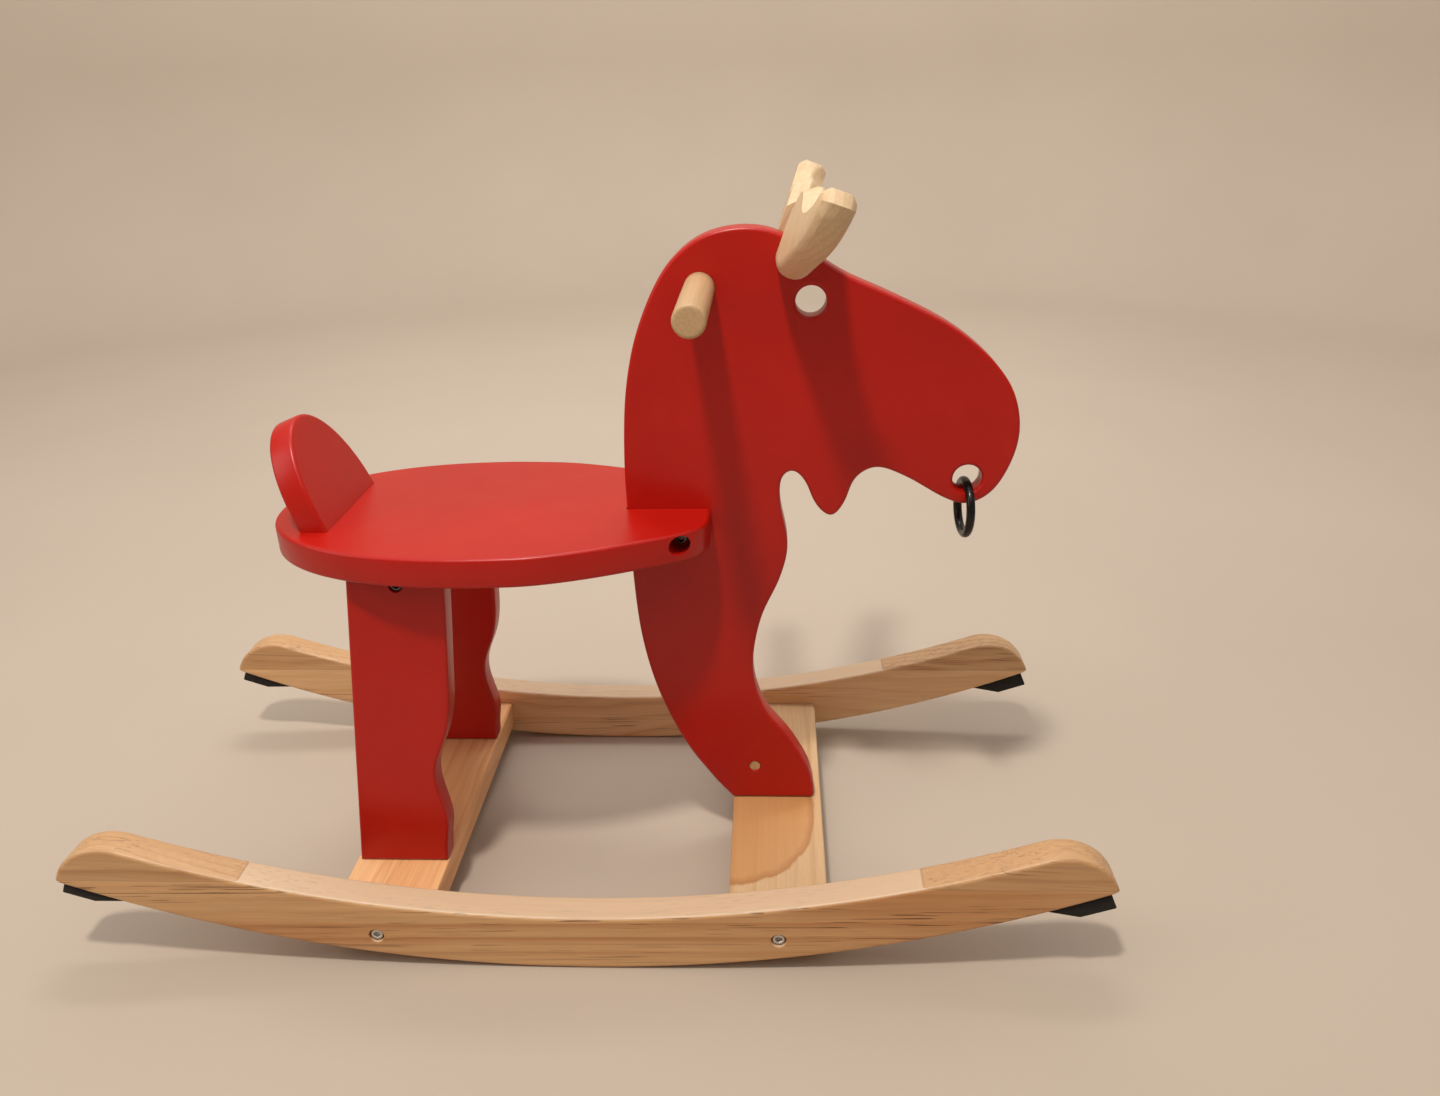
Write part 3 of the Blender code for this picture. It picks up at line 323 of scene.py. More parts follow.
# A palette is early wood, late wood, the patch tint and the dark streaks.
HONEY = (
    (0.660, 0.390, 0.185), (0.480, 0.215, 0.080), (0.500, 0.225, 0.080), (0.120, 0.044, 0.015),
)
AMBER = (
    (0.620, 0.380, 0.190), (0.430, 0.210, 0.086), (0.540, 0.290, 0.125), (0.150, 0.058, 0.020),
)
CREAM = (
    (0.640, 0.440, 0.250), (0.550, 0.330, 0.165), (0.600, 0.360, 0.175), (0.300, 0.150, 0.060),
)
# The rear rail's palette is lightened beyond the wood's own tone: painted light against the seat's
# shade on that rail.
TAWNY_PAINTED_LIGHT = (
    (0.860, 0.500, 0.245), (0.650, 0.305, 0.125), (0.740, 0.370, 0.150), (0.190, 0.072, 0.026),
)
BEECH = (
    (0.550, 0.370, 0.205), (0.490, 0.310, 0.160), (0.520, 0.330, 0.170), (0.330, 0.180, 0.090),
)
LIMEWOOD = (
    (0.690, 0.520, 0.330), (0.630, 0.445, 0.255), (0.660, 0.465, 0.270), (0.400, 0.240, 0.125),
)
STRAW = (
    (0.780, 0.520, 0.285), (0.610, 0.330, 0.150), (0.640, 0.350, 0.155), (0.180, 0.075, 0.030),
)
HEART = (0.540, 0.250, 0.078)

ALONG_X = (0.0, 0.0, 0.0)
ALONG_Y = (0.0, 0.0, -math.pi / 2)


def rocker_wood(name, seed, colours):
    """Two boards glued edge to edge, the upper of which shows at the rocker's tips. Faces turned up
    get painted light: a paler tint.
    """
    material, tree, shader, place = new_material(name)
    lower = wood_figure(
        tree, place, colours, grain=(0, 0.02, 0), pith=(0.035, 0.09), ring=0.010, seed=seed,
        warp=0.05, streaks=0.80)
    upper = wood_figure(
        tree, place, AMBER, grain=(0, -0.04, 0), pith=(0.02, -0.03), ring=0.007, seed=seed + 5,
        warp=0.03, streaks=0.5)
    # Painted light: faces turned up are mixed toward a pale tint, more strongly on the lower board.
    normal = add_node(tree, "TexCoord").outputs["Normal"]
    facing = add_node(tree, "SeparateXYZ", {0: normal}).outputs["Z"]
    top_light_mask = ramp(tree, facing, (0.45, 0.0), (0.85, 1.0))
    pale = (0.690, 0.520, 0.360)
    lower_colour = mix_colour(tree, math_node(tree, "MULTIPLY", top_light_mask, 0.78), lower[0], pale)
    upper_colour = mix_colour(tree, math_node(tree, "MULTIPLY", top_light_mask, 0.10), upper[0], pale)
    height = add_node(tree, "SeparateXYZ", {0: place}).outputs["Z"]
    above = math_node(tree, "GREATER_THAN", height, GLUE_HEIGHT)
    colour = mix_colour(tree, above, lower_colour, upper_colour)
    gap = math_node(tree, "ABSOLUTE", math_node(tree, "SUBTRACT", height, GLUE_HEIGHT))
    line = ramp(tree, math_node(tree, "MULTIPLY", gap, 1000.0), (0.10, 1.0), (0.30, 0.0))
    colour = mix_colour(tree, math_node(tree, "MULTIPLY", line, 0.30), colour, (0.16, 0.07, 0.03))
    relief = add_node(tree, "Mix", {0: above, 2: lower[1], 3: upper[1]}).outputs[0]
    finish_wood(tree, shader, colour, relief, 0.40)
    return material


def rail_wood(name, seed, blotch=None):
    """A flat-sawn board across the toy, with a heartwood patch where blotch is given."""
    material, tree, shader, place = new_material(name)
    # The rear rail's lighter palette is painted light against the shade under the seat.
    colours = CREAM if blotch else TAWNY_PAINTED_LIGHT
    colour, relief = wood_figure(
        tree, place, colours, ALONG_Y, pith=(0.05, 0.02), ring=0.014, seed=seed,
        warp=0.09, streaks=0.30)
    if blotch:
        centre, size = blotch
        spot = mapped(tree, place, location=tuple(-c / s for c, s in zip(centre, size)),
                      scale=tuple(1 / s for s in size))
        wobble = noise(tree, mapped(tree, place, scale=(55.0, 30.0, 30.0)), 1.0, 3.0, 0.6)
        reach = add_node(tree, "VectorMath", {0: spot}, operation="LENGTH").outputs["Value"]
        reach = math_node(tree, "ADD", reach, math_node(tree, "MULTIPLY_ADD", wobble, 0.14, -0.07))
        inside = ramp(tree, reach, (0.955, 1.0), (0.985, 0.0))
        edge = ramp(tree, reach, (0.88, 0.0), (0.960, 1.0), (0.985, 0.0))
        heart = mix_colour(tree, 0.72, colour, HEART)
        colour = mix_colour(tree, inside, colour, heart)
        rim = math_node(tree, "MULTIPLY", edge, 0.50)
        colour = mix_colour(tree, rim, colour, (0.300, 0.110, 0.030))
    finish_wood(tree, shader, colour, relief, 0.42)
    return material


def pale_wood(name, seed, colours, grain, pith=(0.004, 0.003), ring=0.004):
    material, tree, shader, place = new_material(name)
    colour, relief = wood_figure(
        tree, place, colours, grain, pith, ring, seed, warp=0.012, streaks=0.22)
    finish_wood(tree, shader, colour, relief, 0.48, 0.00008)
    return material


def black_rubber(name):
    material, tree, shader, place = new_material(name)
    grime = noise(tree, place, 60.0, 5.0, 0.65)
    colour = ramp(tree, grime, (0.35, (0.004, 0.004, 0.004)), (0.75, (0.012, 0.010, 0.009)))
    tree.links.new(colour, shader.inputs["Base Color"])
    tree.links.new(ramp(tree, grime, (0.3, 0.50), (0.8, 0.72)), shader.inputs["Roughness"])
    shader.inputs["Specular IOR Level"].default_value = 0.3
    fine = noise(tree, place, 1500.0, 3.0, 0.6)
    tree.links.new(bump(tree, fine, 0.25, 0.0001), shader.inputs["Normal"])
    return material


def black_plastic(name):
    material, tree, shader, place = new_material(name)
    haze = noise(tree, place, 90.0, 4.0, 0.6)
    colour = ramp(tree, haze, (0.3, (0.003, 0.003, 0.003)), (0.8, (0.007, 0.006, 0.006)))
    tree.links.new(colour, shader.inputs["Base Color"])
    tree.links.new(ramp(tree, haze, (0.3, 0.22), (0.8, 0.36)), shader.inputs["Roughness"])
    tree.links.new(bump(tree, noise(tree, place, 300.0), 0.08, 0.0001), shader.inputs["Normal"])
    shader.inputs["Specular IOR Level"].default_value = 0.32
    return material


def zinc(name, low=(0.54, 0.53, 0.50), high=(0.70, 0.69, 0.66)):
    """Zinc-plated steel: faint cloudiness and fine scratches."""
    material, tree, shader, place = new_material(name)
    cloud = noise(tree, place, 240.0, 4.0, 0.6)
    colour = ramp(tree, cloud, (0.3, low), (0.75, high))
    tree.links.new(colour, shader.inputs["Base Color"])
    shader.inputs["Metallic"].default_value = 1.0
    tree.links.new(ramp(tree, cloud, (0.3, 0.17), (0.8, 0.30)), shader.inputs["Roughness"])
    scratch = noise(tree, mapped(tree, place, scale=(300.0, 2600.0, 2600.0)), 1.0, 2.0)
    tree.links.new(bump(tree, scratch, 0.15, 0.00004), shader.inputs["Normal"])
    return material


def pale_floor(name):
    material, tree, shader, place = new_material(name)
    cloudy = noise(tree, place, 2.0, 4.0)
    colour = ramp(tree, cloudy, (0.3, (0.465, 0.390, 0.318)), (0.7, (0.485, 0.408, 0.334)))
    tree.links.new(colour, shader.inputs["Base Color"])
    shader.inputs["Roughness"].default_value = 0.85
    return material


# -------------------- outlines


def points_of(pairs):
    return [Vector(pair) for pair in pairs]


def evenly(start, end, steps):
    return [start + (end - start) * i / steps for i in range(steps + 1)]


def smooth_curve(points, spacing):
    """Centripetal Catmull-Rom curve through open control points."""
    padded = [2 * points[0] - points[1], *points, 2 * points[-1] - points[-2]]
    curve = []
    for before, start, end, after in zip(padded, padded[1:], padded[2:], padded[3:]):
        steps = max(1, round((end - start).length / spacing))
        knots = [0.0]
        for a, b in ((before, start), (start, end), (end, after)):
            knots.append(knots[-1] + math.sqrt((b - a).length))
        for step in range(steps):
            t = knots[1] + (knots[2] - knots[1]) * step / steps
            firsts = [
                lerp(a, b, t, knots[i], knots[i + 1])
                for i, (a, b) in enumerate(((before, start), (start, end), (end, after)))
            ]
            seconds = [lerp(firsts[i], firsts[i + 1], t, knots[i], knots[i + 2]) for i in (0, 1)]
            curve.append(lerp(seconds[0], seconds[1], t, knots[1], knots[2]))
    curve.append(points[-1])
    return curve


def lerp(a, b, t, low, high):
    return a * ((high - t) / (high - low)) + b * ((t - low) / (high - low))


def relaxed(points, rounds, closed=True):
    """Points with small kinks smoothed away, ends kept where the run is open."""
    for _ in range(rounds):
        count = len(points)
        moved = []
        for i, point in enumerate(points):
            if not closed and i in (0, count - 1):
                moved.append(point)
                continue
            between = (points[i - 1] + points[(i + 1) % count]) / 2
            moved.append(point.lerp(between, 0.5))
        points = moved
    return points


def arc(centre, radius, start_deg, end_deg, steps):
    angles = [math.radians(a) for a in evenly(start_deg, end_deg, steps)]
    return [centre + radius * Vector((math.cos(a), math.sin(a))) for a in angles]


def fillet(before, corner, after, radius, steps=6):
    before, corner, after = Vector(before), Vector(corner), Vector(after)
    back = (before - corner).normalized()
    ahead = (after - corner).normalized()
    half = back.angle(ahead) / 2
    centre = corner + (back + ahead).normalized() * (radius / math.sin(half))
    first = corner + back * radius / math.tan(half) - centre
    last = corner + ahead * radius / math.tan(half) - centre
    start = math.atan2(first.y, first.x)
    turn = math.remainder(math.atan2(last.y, last.x) - start, 2 * math.pi)
    angles = evenly(start, start + turn, steps)
    return [centre + radius * Vector((math.cos(a), math.sin(a))) for a in angles]


def circle(centre, radius, steps):
    angles = [2 * math.pi * i / steps for i in range(steps)]
    return [Vector(centre) + radius * Vector((math.cos(a), math.sin(a))) for a in angles]


def edge_points(start, end, clear, spacing):
    """Points strictly between two corners, none nearer to a corner than clear."""
    start, end = Vector(start), Vector(end)
    length = (end - start).length
    run = length - 2 * clear
    steps = max(1, round(run / spacing))
    return [start.lerp(end, (clear + run * i / steps) / length) for i in range(steps + 1)]


def clear_ends(curve, distance):
    """The curve without the points that crowd its two ends."""
    first, last = curve[0], curve[-1]
    kept = [p for p in curve if (p - first).length > distance and (p - last).length > distance]
    return [first, *kept, last]


def rounded_rectangle(x0, z0, x1, z1, radius):
    corners = [(x0, z0), (x1, z0), (x1, z1), (x0, z1)]
    outline = []
    for i, corner in enumerate(corners):
        outline += fillet(corners[i - 1], corner, corners[(i + 1) % 4], radius, 4)
    return outline


# -------------------- meshes


def fresh_object(name, mesh):
    piece = bpy.data.objects.new(name, mesh)
    bpy.context.scene.collection.objects.link(piece)
    return piece


def close_mesh(shape, name, sharp_deg=30.0):
    bmesh.ops.remove_doubles(shape, verts=shape.verts, dist=1e-6)
    bmesh.ops.recalc_face_normals(shape, faces=shape.faces)
    mesh = bpy.data.meshes.new(name)
    shape.to_mesh(mesh)
    shape.free()
    mesh.shade_smooth()
    mesh.set_sharp_from_angle(angle=math.radians(sharp_deg))
    return mesh


def side_normals(outline):
    """Outward direction at each point of a ring, longer at corners to keep even insets."""
    normals = []
    count = len(outline)
    for i, point in enumerate(outline):
        a = (point - outline[i - 1]).normalized()
        b = (outline[(i + 1) % count] - point).normalized()
        across = Vector((a.y + b.y, -a.x - b.x))
        across.normalize()
        normals.append(across / max(0.5, across.dot(Vector((a.y, -a.x)))))
    return normals


def rounded_slab(name, outline, thickness, rounding, holes=(), steps=5):
    """(x, z) outline, anticlockwise, given thickness along Y, with all its rims rounded.

    holes are anticlockwise outlines too.
    """
    shape = bmesh.new()
    half = thickness / 2
    levels = [(rounding + SUPPORT, -half)]
    for i in range(steps + 1):
        a = math.pi / 2 * i / steps
        levels.append((rounding * (1 - math.sin(a)), -half + rounding * (1 - math.cos(a))))
    levels += [(inset, -y) for inset, y in reversed(levels)]
    caps = ([], [])
    for ring_points in [outline, *[list(reversed(hole)) for hole in holes]]:
        normals = side_normals(ring_points)
        rings = [
            [shape.verts.new((p.x - n.x * inset, y, p.y - n.y * inset))
             for p, n in zip(ring_points, normals)]
            for inset, y in levels
        ]
        for lower, upper in zip(rings, rings[1:]):
            bridge(shape, lower, upper)
        for cap, ring in zip(caps, (rings[0], rings[-1])):
            cap += [shape.edges.get((ring[i - 1], ring[i])) for i in range(len(ring))]
    for cap in caps:
        bmesh.ops.triangle_fill(shape, use_beauty=True, use_dissolve=False, edges=cap)
    return close_mesh(shape, name)


def bridge(shape, lower, upper):
    count = len(lower)
    for i in range(count):
        j = (i + 1) % count
        if len(upper) == 1:
            shape.faces.new((lower[i], lower[j], upper[0]))
        else:
            shape.faces.new((lower[i], lower[j], upper[j], upper[i]))


def turned(name, profile, sides):
    """Mesh turned about Z. Each ring of the profile is (radius, height) or (apothem, height, 6)."""
    shape = bmesh.new()
    rings = []
    for radius, height, *hexagonal in profile:
        if radius == 0:
            rings.append([shape.verts.new((0, 0, height))])
            continue
        ring = []
        for i in range(sides):
            a = 2 * math.pi * i / sides
            reach = radius
            if hexagonal:
                reach = radius / math.cos((a + math.pi / 6) % (math.pi / 3) - math.pi / 6)
            ring.append(shape.verts.new((reach * math.cos(a), reach * math.sin(a), height)))
        rings.append(ring)
    for lower, upper in zip(rings, rings[1:]):
        if len(lower) == 1:
            bridge(shape, upper, lower)
        else:
            bridge(shape, lower, upper)
    for ring in (rings[0], rings[-1]):
        if len(ring) > 1:
            shape.faces.new(ring)
    return close_mesh(shape, name)


def aimed(direction):
    return Vector(direction).to_track_quat("Z", "Y").to_matrix().to_4x4()


def placed(mesh, place, direction):
    mesh.transform(Matrix.Translation(place) @ aimed(direction))
    return mesh


def hole_tool(start, direction, radius, depth, flare=0.0006, sides=48):
    """Cutter for a drilled hole: start is on the surface, direction points into the wood."""
    profile = [(radius + 0.004, -0.004), (radius + flare, -0.0001), (radius + flare, 0.0)]
    profile += [(radius, flare), (radius, depth)]
    return placed(turned("tool", profile, sides), start, direction)


def hole_below(node, under, *shape):
    """Cutter for a hole drilled up from under a node. shape is its radius, depth and so on."""
    at = middle(node)
    return hole_tool((at.x, at.y, under), (0, 0, 1), *shape)


def side_recess(node, side, floor_y, radius, sides):
    """Cutter in line with a bolt, from the toy's outer side in to floor_y."""
    at = middle(node)
    profile = [(radius, 0.0), (radius, HALF_WIDTH - abs(floor_y))]
    return placed(turned("tool", profile, sides), (at.x, side * HALF_WIDTH, at.z), (0, -side, 0))


def block_tool(low, high):
    shape = bmesh.new()
    bmesh.ops.create_cube(shape, size=1.0)
    low, high = Vector(low), Vector(high)
    bmesh.ops.scale(shape, vec=high - low, verts=shape.verts)
    bmesh.ops.translate(shape, vec=(low + high) / 2, verts=shape.verts)
    return close_mesh(shape, "tool")


def carve(mesh, *tools, sharp_deg=30.0):
    """The mesh with every tool cut out of it."""
    work = fresh_object("work", mesh)
    cutters = [fresh_object("cutter", tool) for tool in tools]
    for cutter in cutters:
        modifier = work.modifiers.new("cut", "BOOLEAN")
        modifier.operation = "DIFFERENCE"
        modifier.object = cutter
        modifier.solver = "MANIFOLD"
    shaped = baked(work, mesh.name, sharp_deg)
    for cutter in cutters:
        bpy.data.objects.remove(cutter)
    return shaped


def baked(work, name, sharp_deg=30.0):
    """A work object's mesh with its modifiers applied. The object is removed."""
    graph = bpy.context.evaluated_depsgraph_get()
    graph.update()
    shaped = bpy.data.meshes.new_from_object(work.evaluated_get(graph), depsgraph=graph)
    bpy.data.objects.remove(work)
    shaped.name = name
    shaped.shade_smooth()
    shaped.set_sharp_from_angle(angle=math.radians(sharp_deg))
    return shaped


# -------------------- placing


def middle(node):
    low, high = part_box(node)
    return (low + high) / 2


def outer_y(node, side):
    """How far out a node reaches to its own side of the toy, with its sign."""
    low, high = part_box(node)
    return low.y if side < 0 else high.y


def show(mesh, node, material, body="frame"):
    """Adds a mesh as the piece that stands for a CAD node, centred on that node."""
    piece = fresh_object(node + "_fine", mesh)
    mesh.materials.clear()
    mesh.materials.append(material)
    corners = [Vector(v.co) for v in mesh.vertices]
    low = Vector(min(c[i] for c in corners) for i in range(3))
    high = Vector(max(c[i] for c in corners) for i in range(3))
    mesh.transform(Matrix.Translation(middle(node) - (low + high) / 2))
    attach(piece, body)
    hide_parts(node)


def keep(node, material):
    """Gives a carried-over CAD node its finish."""
    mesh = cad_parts[node].data
    mesh.materials.clear()
    mesh.materials.append(material)


SIDES = (("right", -1), ("left", 1))
ENDS = ("front", "rear")


def each_corner(what):
    return [f"{end}_{name}_{what}" for end in ENDS for name, _ in SIDES]


# -------------------- pieces


def rolling_height(x):
    return ROCKER_RADIUS - math.sqrt(ROCKER_RADIUS**2 - x**2)


def rocker_outline():
    reach = ROCKER_NOSE_RADIUS * math.cos(math.radians(ROCKER_NOSE_END_DEG))
    top_end = (ROCKER_HALF_LENGTH - reach) / (1 + ROCKER_NOSE_RADIUS / ROCKER_RADIUS)
    slope = math.asin(top_end / ROCKER_RADIUS)
    inward = Vector((math.sin(slope), -math.cos(slope)))
    top_point = Vector((top_end, rolling_height(top_end) + ROCKER_HEIGHT))
    nose_centre = top_point + ROCKER_NOSE_RADIUS * inward
    end_deg = 90 + math.degrees(slope)
    nose = arc(nose_centre, ROCKER_NOSE_RADIUS, ROCKER_NOSE_END_DEG, end_deg, 22)
    tip_x = ROCKER_HALF_LENGTH - ROCKER_TIP_INSET
    inner_x = tip_x - 0.05
    tip = Vector((tip_x, rolling_height(tip_x)))
    inner = Vector((inner_x, rolling_height(inner_x)))
    lower_corner = fillet(inner, tip, nose[0], ROCKER_TIP_ROUND)
    bottom_end = lower_corner[0].x
    bottom = [Vector((x, rolling_height(x))) for x in evenly(-bottom_end, bottom_end, 110)]
    top = [Vector((x, rolling_height(x) + ROCKER_HEIGHT)) for x in evenly(top_end, -top_end, 110)]
    half = lower_corner[1:] + nose
    other = [Vector((-p.x, p.y)) for p in reversed(half)]
    return bottom + half + top[1:-1] + other


def make_rockers():
    for name, side in SIDES:
        node = f"{name}_rocker"
        mesh = rounded_slab(node, rocker_outline(), ROCKER_THICKNESS, BOARD_ROUND)
        mesh.transform(Matrix.Translation((0, middle(node).y, 0)))
        outer = outer_y(node, side)
        tools = []
        for end in ENDS:
            bolt = f"{end}_{name}_rocker_bolt"
            at = middle(bolt)
            depth = abs(outer - outer_y(bolt, side)) + RECESS_DEPTH
            tools.append(hole_tool((at.x, outer, at.z), (0, -side, 0), RECESS_RADIUS, depth))
        mesh = carve(mesh, *tools)
        colours = HONEY if side < 0 else STRAW
        show(mesh, node, rocker_wood(f"{node}_wood", 2.0 + side, colours))


def make_rails():
    for end in ENDS:
        node = f"{end}_rail"
        low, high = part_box(node)
        outline = rounded_rectangle(low.x, low.z, high.x, high.z, RAIL_ROUND)
        mesh = rounded_slab(node, outline, high.y - low.y, RAIL_END_ROUND, steps=2)
        tools = []
        for name, _ in SIDES:
            tools.append(hole_below(f"{end}_{name}_rail_nut", low.z, NUT_HOLE_RADIUS, 0.022))
            if end == "rear":
                tools += [hole_below(f"{name}_leg_screw_{i}", low.z, *SCREW_HOLE) for i in (1, 2)]
        if end == "front":
            tools.append(hole_below("foot_bolt", low.z, *FOOT_BOLT_HOLE))
            wood = rail_wood(
                f"{node}_wood", 3.0, blotch=((0.1250, -0.0300, high.z), (0.0720, 0.1020, 0.060)))
        else:
            wood = rail_wood(f"{node}_wood", 7.5)
        show(carve(mesh, *tools), node, wood)


def make_head_board(paint):
    curve = smooth_curve(points_of(HEAD_CURVE), 0.0026)
    curve = relaxed(curve, 10, closed=False)
    heel = fillet(curve[-1], HEEL, TOE, 0.005)
    toe = fillet(HEEL, TOE, curve[0], 0.004)
    holes = [circle(EYE, HOLE_RADIUS, 72), circle(NOSTRIL, HOLE_RADIUS, 72)]
    mesh = rounded_slab("head_board", curve + heel + toe, BOARD, BOARD_ROUND, holes)
    nut = middle("foot_nut")
    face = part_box("head_board")[0].y
    bar = middle("handle_bar")
    tools = [
        hole_tool((nut.x, face, nut.z), (0, 1, 0), *FOOT_NUT_HOLE),
        placed(
            turned("tool", [(BAR_HOLE_RADIUS, -0.02), (BAR_HOLE_RADIUS, 0.02)], 72),
            bar, (0, 1, 0)),
    ]
    show(carve(mesh, *tools), "head_board", paint)


def make_seat(paint):
    low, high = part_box("seat")
    half_length, half_width = SEAT_CENTRE_X - low.x, (high.y - low.y) / 2
    left = smooth_curve(points_of(SEAT_FRONT_CURVE), 0.003)
    outline = [Vector((p.x, -p.y)) for p in left] + left[::-1]
    power = 2 / SEAT_SQUARENESS
    for a in evenly(math.pi / 2, 3 * math.pi / 2, 120)[1:-1]:
        x = SEAT_CENTRE_X - half_length * abs(math.cos(a)) ** power
        y = half_width * abs(math.sin(a)) ** power
        outline.append(Vector((x, math.copysign(y, math.sin(a)))))
    mesh = rounded_slab("seat", relaxed(outline, 6), high.z - low.z, BOARD_ROUND)
    lay = Matrix.Translation((0, 0, (low.z + high.z) / 2)) @ Matrix.Rotation(-math.pi / 2, 4, "X")
    mesh.transform(lay)
    head_low, head_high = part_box("head_board")
    tools = [block_tool(
        (SEAT_SLOT_BACK_X, head_low.y - SEAT_SLOT_CLEARANCE, 0.2),
        (0.5, head_high.y + SEAT_SLOT_CLEARANCE, 0.5))]
    bolt_floor = outer_y("seat_bolt", -1) + HEAD_HEIGHT
    nut_floor = outer_y("seat_nut", 1) - RECESS_DEPTH
    for side, floor_y in ((-1, bolt_floor), (1, nut_floor)):
        tools.append(side_recess("seat_bolt", side, floor_y, SEAT_RECESS_RADIUS, 64))
    show(carve(mesh, *tools), "seat", paint)


def make_tail_rest(paint):
    low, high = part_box("tail_rest")
    half_width = (high.y - low.y) / 2
    seat_top = low.z
    outline = points_of([(-half_width, -TAIL_ROOT), (half_width, -TAIL_ROOT)])
    for a in evenly(0, math.pi, 90):
        outline.append(Vector((half_width * math.cos(a), TAIL_HEIGHT * math.sin(a))))
    mesh = rounded_slab("tail_rest", outline, TAIL_THICKNESS, BOARD_ROUND)
    lean = Matrix.Rotation(-math.radians(TAIL_TILT_DEG), 4, "Y")
    turn = lean @ Matrix.Rotation(math.pi / 2, 4, "Z")
    mesh.transform(Matrix.Translation((TAIL_FOOT_X, 0, seat_top)) @ turn)
    mesh = carve(mesh, block_tool((-0.5, -0.3, 0.2), (0.1, 0.3, seat_top)))
    show(mesh, "tail_rest", paint)


def make_rear_legs(paint):
    for name, side in SIDES:
        node = f"{name}_rear_leg"
        low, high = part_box(node)
        front = smooth_curve(
            [Vector((LEG_FRONT_FOOT_X, low.z)), *[Vector((-x, z)) for x, z in LEG_FRONT_CURVE],
             Vector((LEG_FRONT_TOP_X, high.z))], 0.0026)
        front = clear_ends(relaxed(front, 10, closed=False), 0.005)
        rear = points_of([(LEG_REAR_TOP_X, high.z), (LEG_REAR_FOOT_X, low.z)])
        corners = [front[-1], *rear, front[0]]
        outline = front[:-1]
        for start, end in zip(corners, corners[1:]):
            outline += [start, *edge_points(start, end, 0.008, 0.02)]
        mesh = rounded_slab(node, outline, BOARD, LEG_ROUND)
        centre = middle(node)
        for vertex in mesh.vertices:
            vertex.co.y += centre.y - side * LEG_SPLAY * (vertex.co.z - centre.z)
        bolt = f"{name}_leg_top_bolt"
        floor_y = outer_y(bolt, side) - side * HEAD_HEIGHT
        recess = side_recess(bolt, side, floor_y, LEG_RECESS_RADIUS, 48)
        show(carve(mesh, recess), node, paint)


def make_batten(paint):
    low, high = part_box("seat_batten")
    half_low, half_high = high.y, high.y - LEG_SPLAY * (high.z - low.z)
    corners = [(-half_low, low.z), (half_low, low.z), (half_high, high.z), (-half_high, high.z)]
    outline = []
    for i, corner in enumerate(corners):
        outline += fillet(corners[i - 1], corner, corners[(i + 1) % 4], LEG_ROUND, 4)
    mesh = rounded_slab("seat_batten", outline, high.x - low.x, 0.0012, steps=3)
    across = Matrix.Rotation(math.pi / 2, 4, "Z")
    mesh.transform(Matrix.Translation((middle("seat_batten").x, 0, 0)) @ across)
    tools = [hole_below(f"{name}_leg_top_nut", low.z, NUT_HOLE_RADIUS, 0.0155) for name, _ in SIDES]
    tools += [hole_below(f"batten_screw_{i}", low.z, *SCREW_HOLE) for i in (1, 2)]
    show(carve(mesh, *tools), "seat_batten", paint)


def make_handle_bar():
    low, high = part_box("handle_bar")
    radius, half = (high.z - low.z) / 2, (high.y - low.y) / 2
    face = radius - 0.0032
    rings = []
    for i in range(7):
        a = math.pi / 2 * i / 6
        inset, rise = BAR_ROUND * (1 - math.sin(a)), BAR_ROUND * (1 - math.cos(a))
        rings.append((radius - inset, -half + rise))
    along = [(radius, y) for y in evenly(-half + 0.006, half - 0.006, 24)]
    profile = [(0, -half), (face, -half)] + rings + along
    profile += [(r, -z) for r, z in reversed(rings)] + [(face, half), (0, half)]
    mesh = placed(turned("handle_bar", profile, 72), middle("handle_bar"), (0, 1, 0))
    wood = pale_wood("handle_wood", 1.0, BEECH, ALONG_Y, pith=(0.07, -0.50), ring=0.0035)
    show(mesh, "handle_bar", wood)


def straight_run(corners):
    """Points along the straight lines between corners, without the first corner."""
    run = []
    for start, end in zip(corners, corners[1:]):
        steps = max(1, round((end - start).length / ANTLER_STEP))
        run += evenly(start, end, steps)[1:]
    return run


def antler_outline():
    """Outline of an antler as (outwards, up): a smooth lower edge, a facetted lobe, a notch."""
    corners = points_of(ANTLER_OUTLINE)
    lower = relaxed(smooth_curve(corners[:7], ANTLER_STEP), 6, closed=False)
    notch = relaxed(smooth_curve(corners[10:15], ANTLER_STEP), 2, closed=False)
    wrist = straight_run([*corners[14:], corners[0]])
    return lower + straight_run(corners[6:11]) + notch[1:] + wrist[:-1]


def antler_bevels(outline):
    """Breadth, depth and flatness of the bevel at each point of an antler's outline."""
    bevels = []
    for point in outline:
        lobe = min(1.0, max(0.0, (point.x - ANTLER_LOBE_START) / ANTLER_LOBE_SPAN))
        if point.y > ANTLER_TOP_HEIGHT and point.x < ANTLER_TOP_END:
            bevels.append(ANTLER_TOP_BEVEL)
        else:
            depth = ANTLER_WRIST_ROUND - ANTLER_LOBE_THINNING * lobe
            bevels.append((depth, depth, ANTLER_LOBE_FLATNESS * lobe))
    for _ in range(4):
        bevels = [
            tuple((a + 2 * b + c) / 4 for a, b, c in zip(before, here, after))
            for before, here, after in zip(
                [bevels[-1], *bevels], bevels, [*bevels[1:], bevels[0]])
        ]
    return bevels


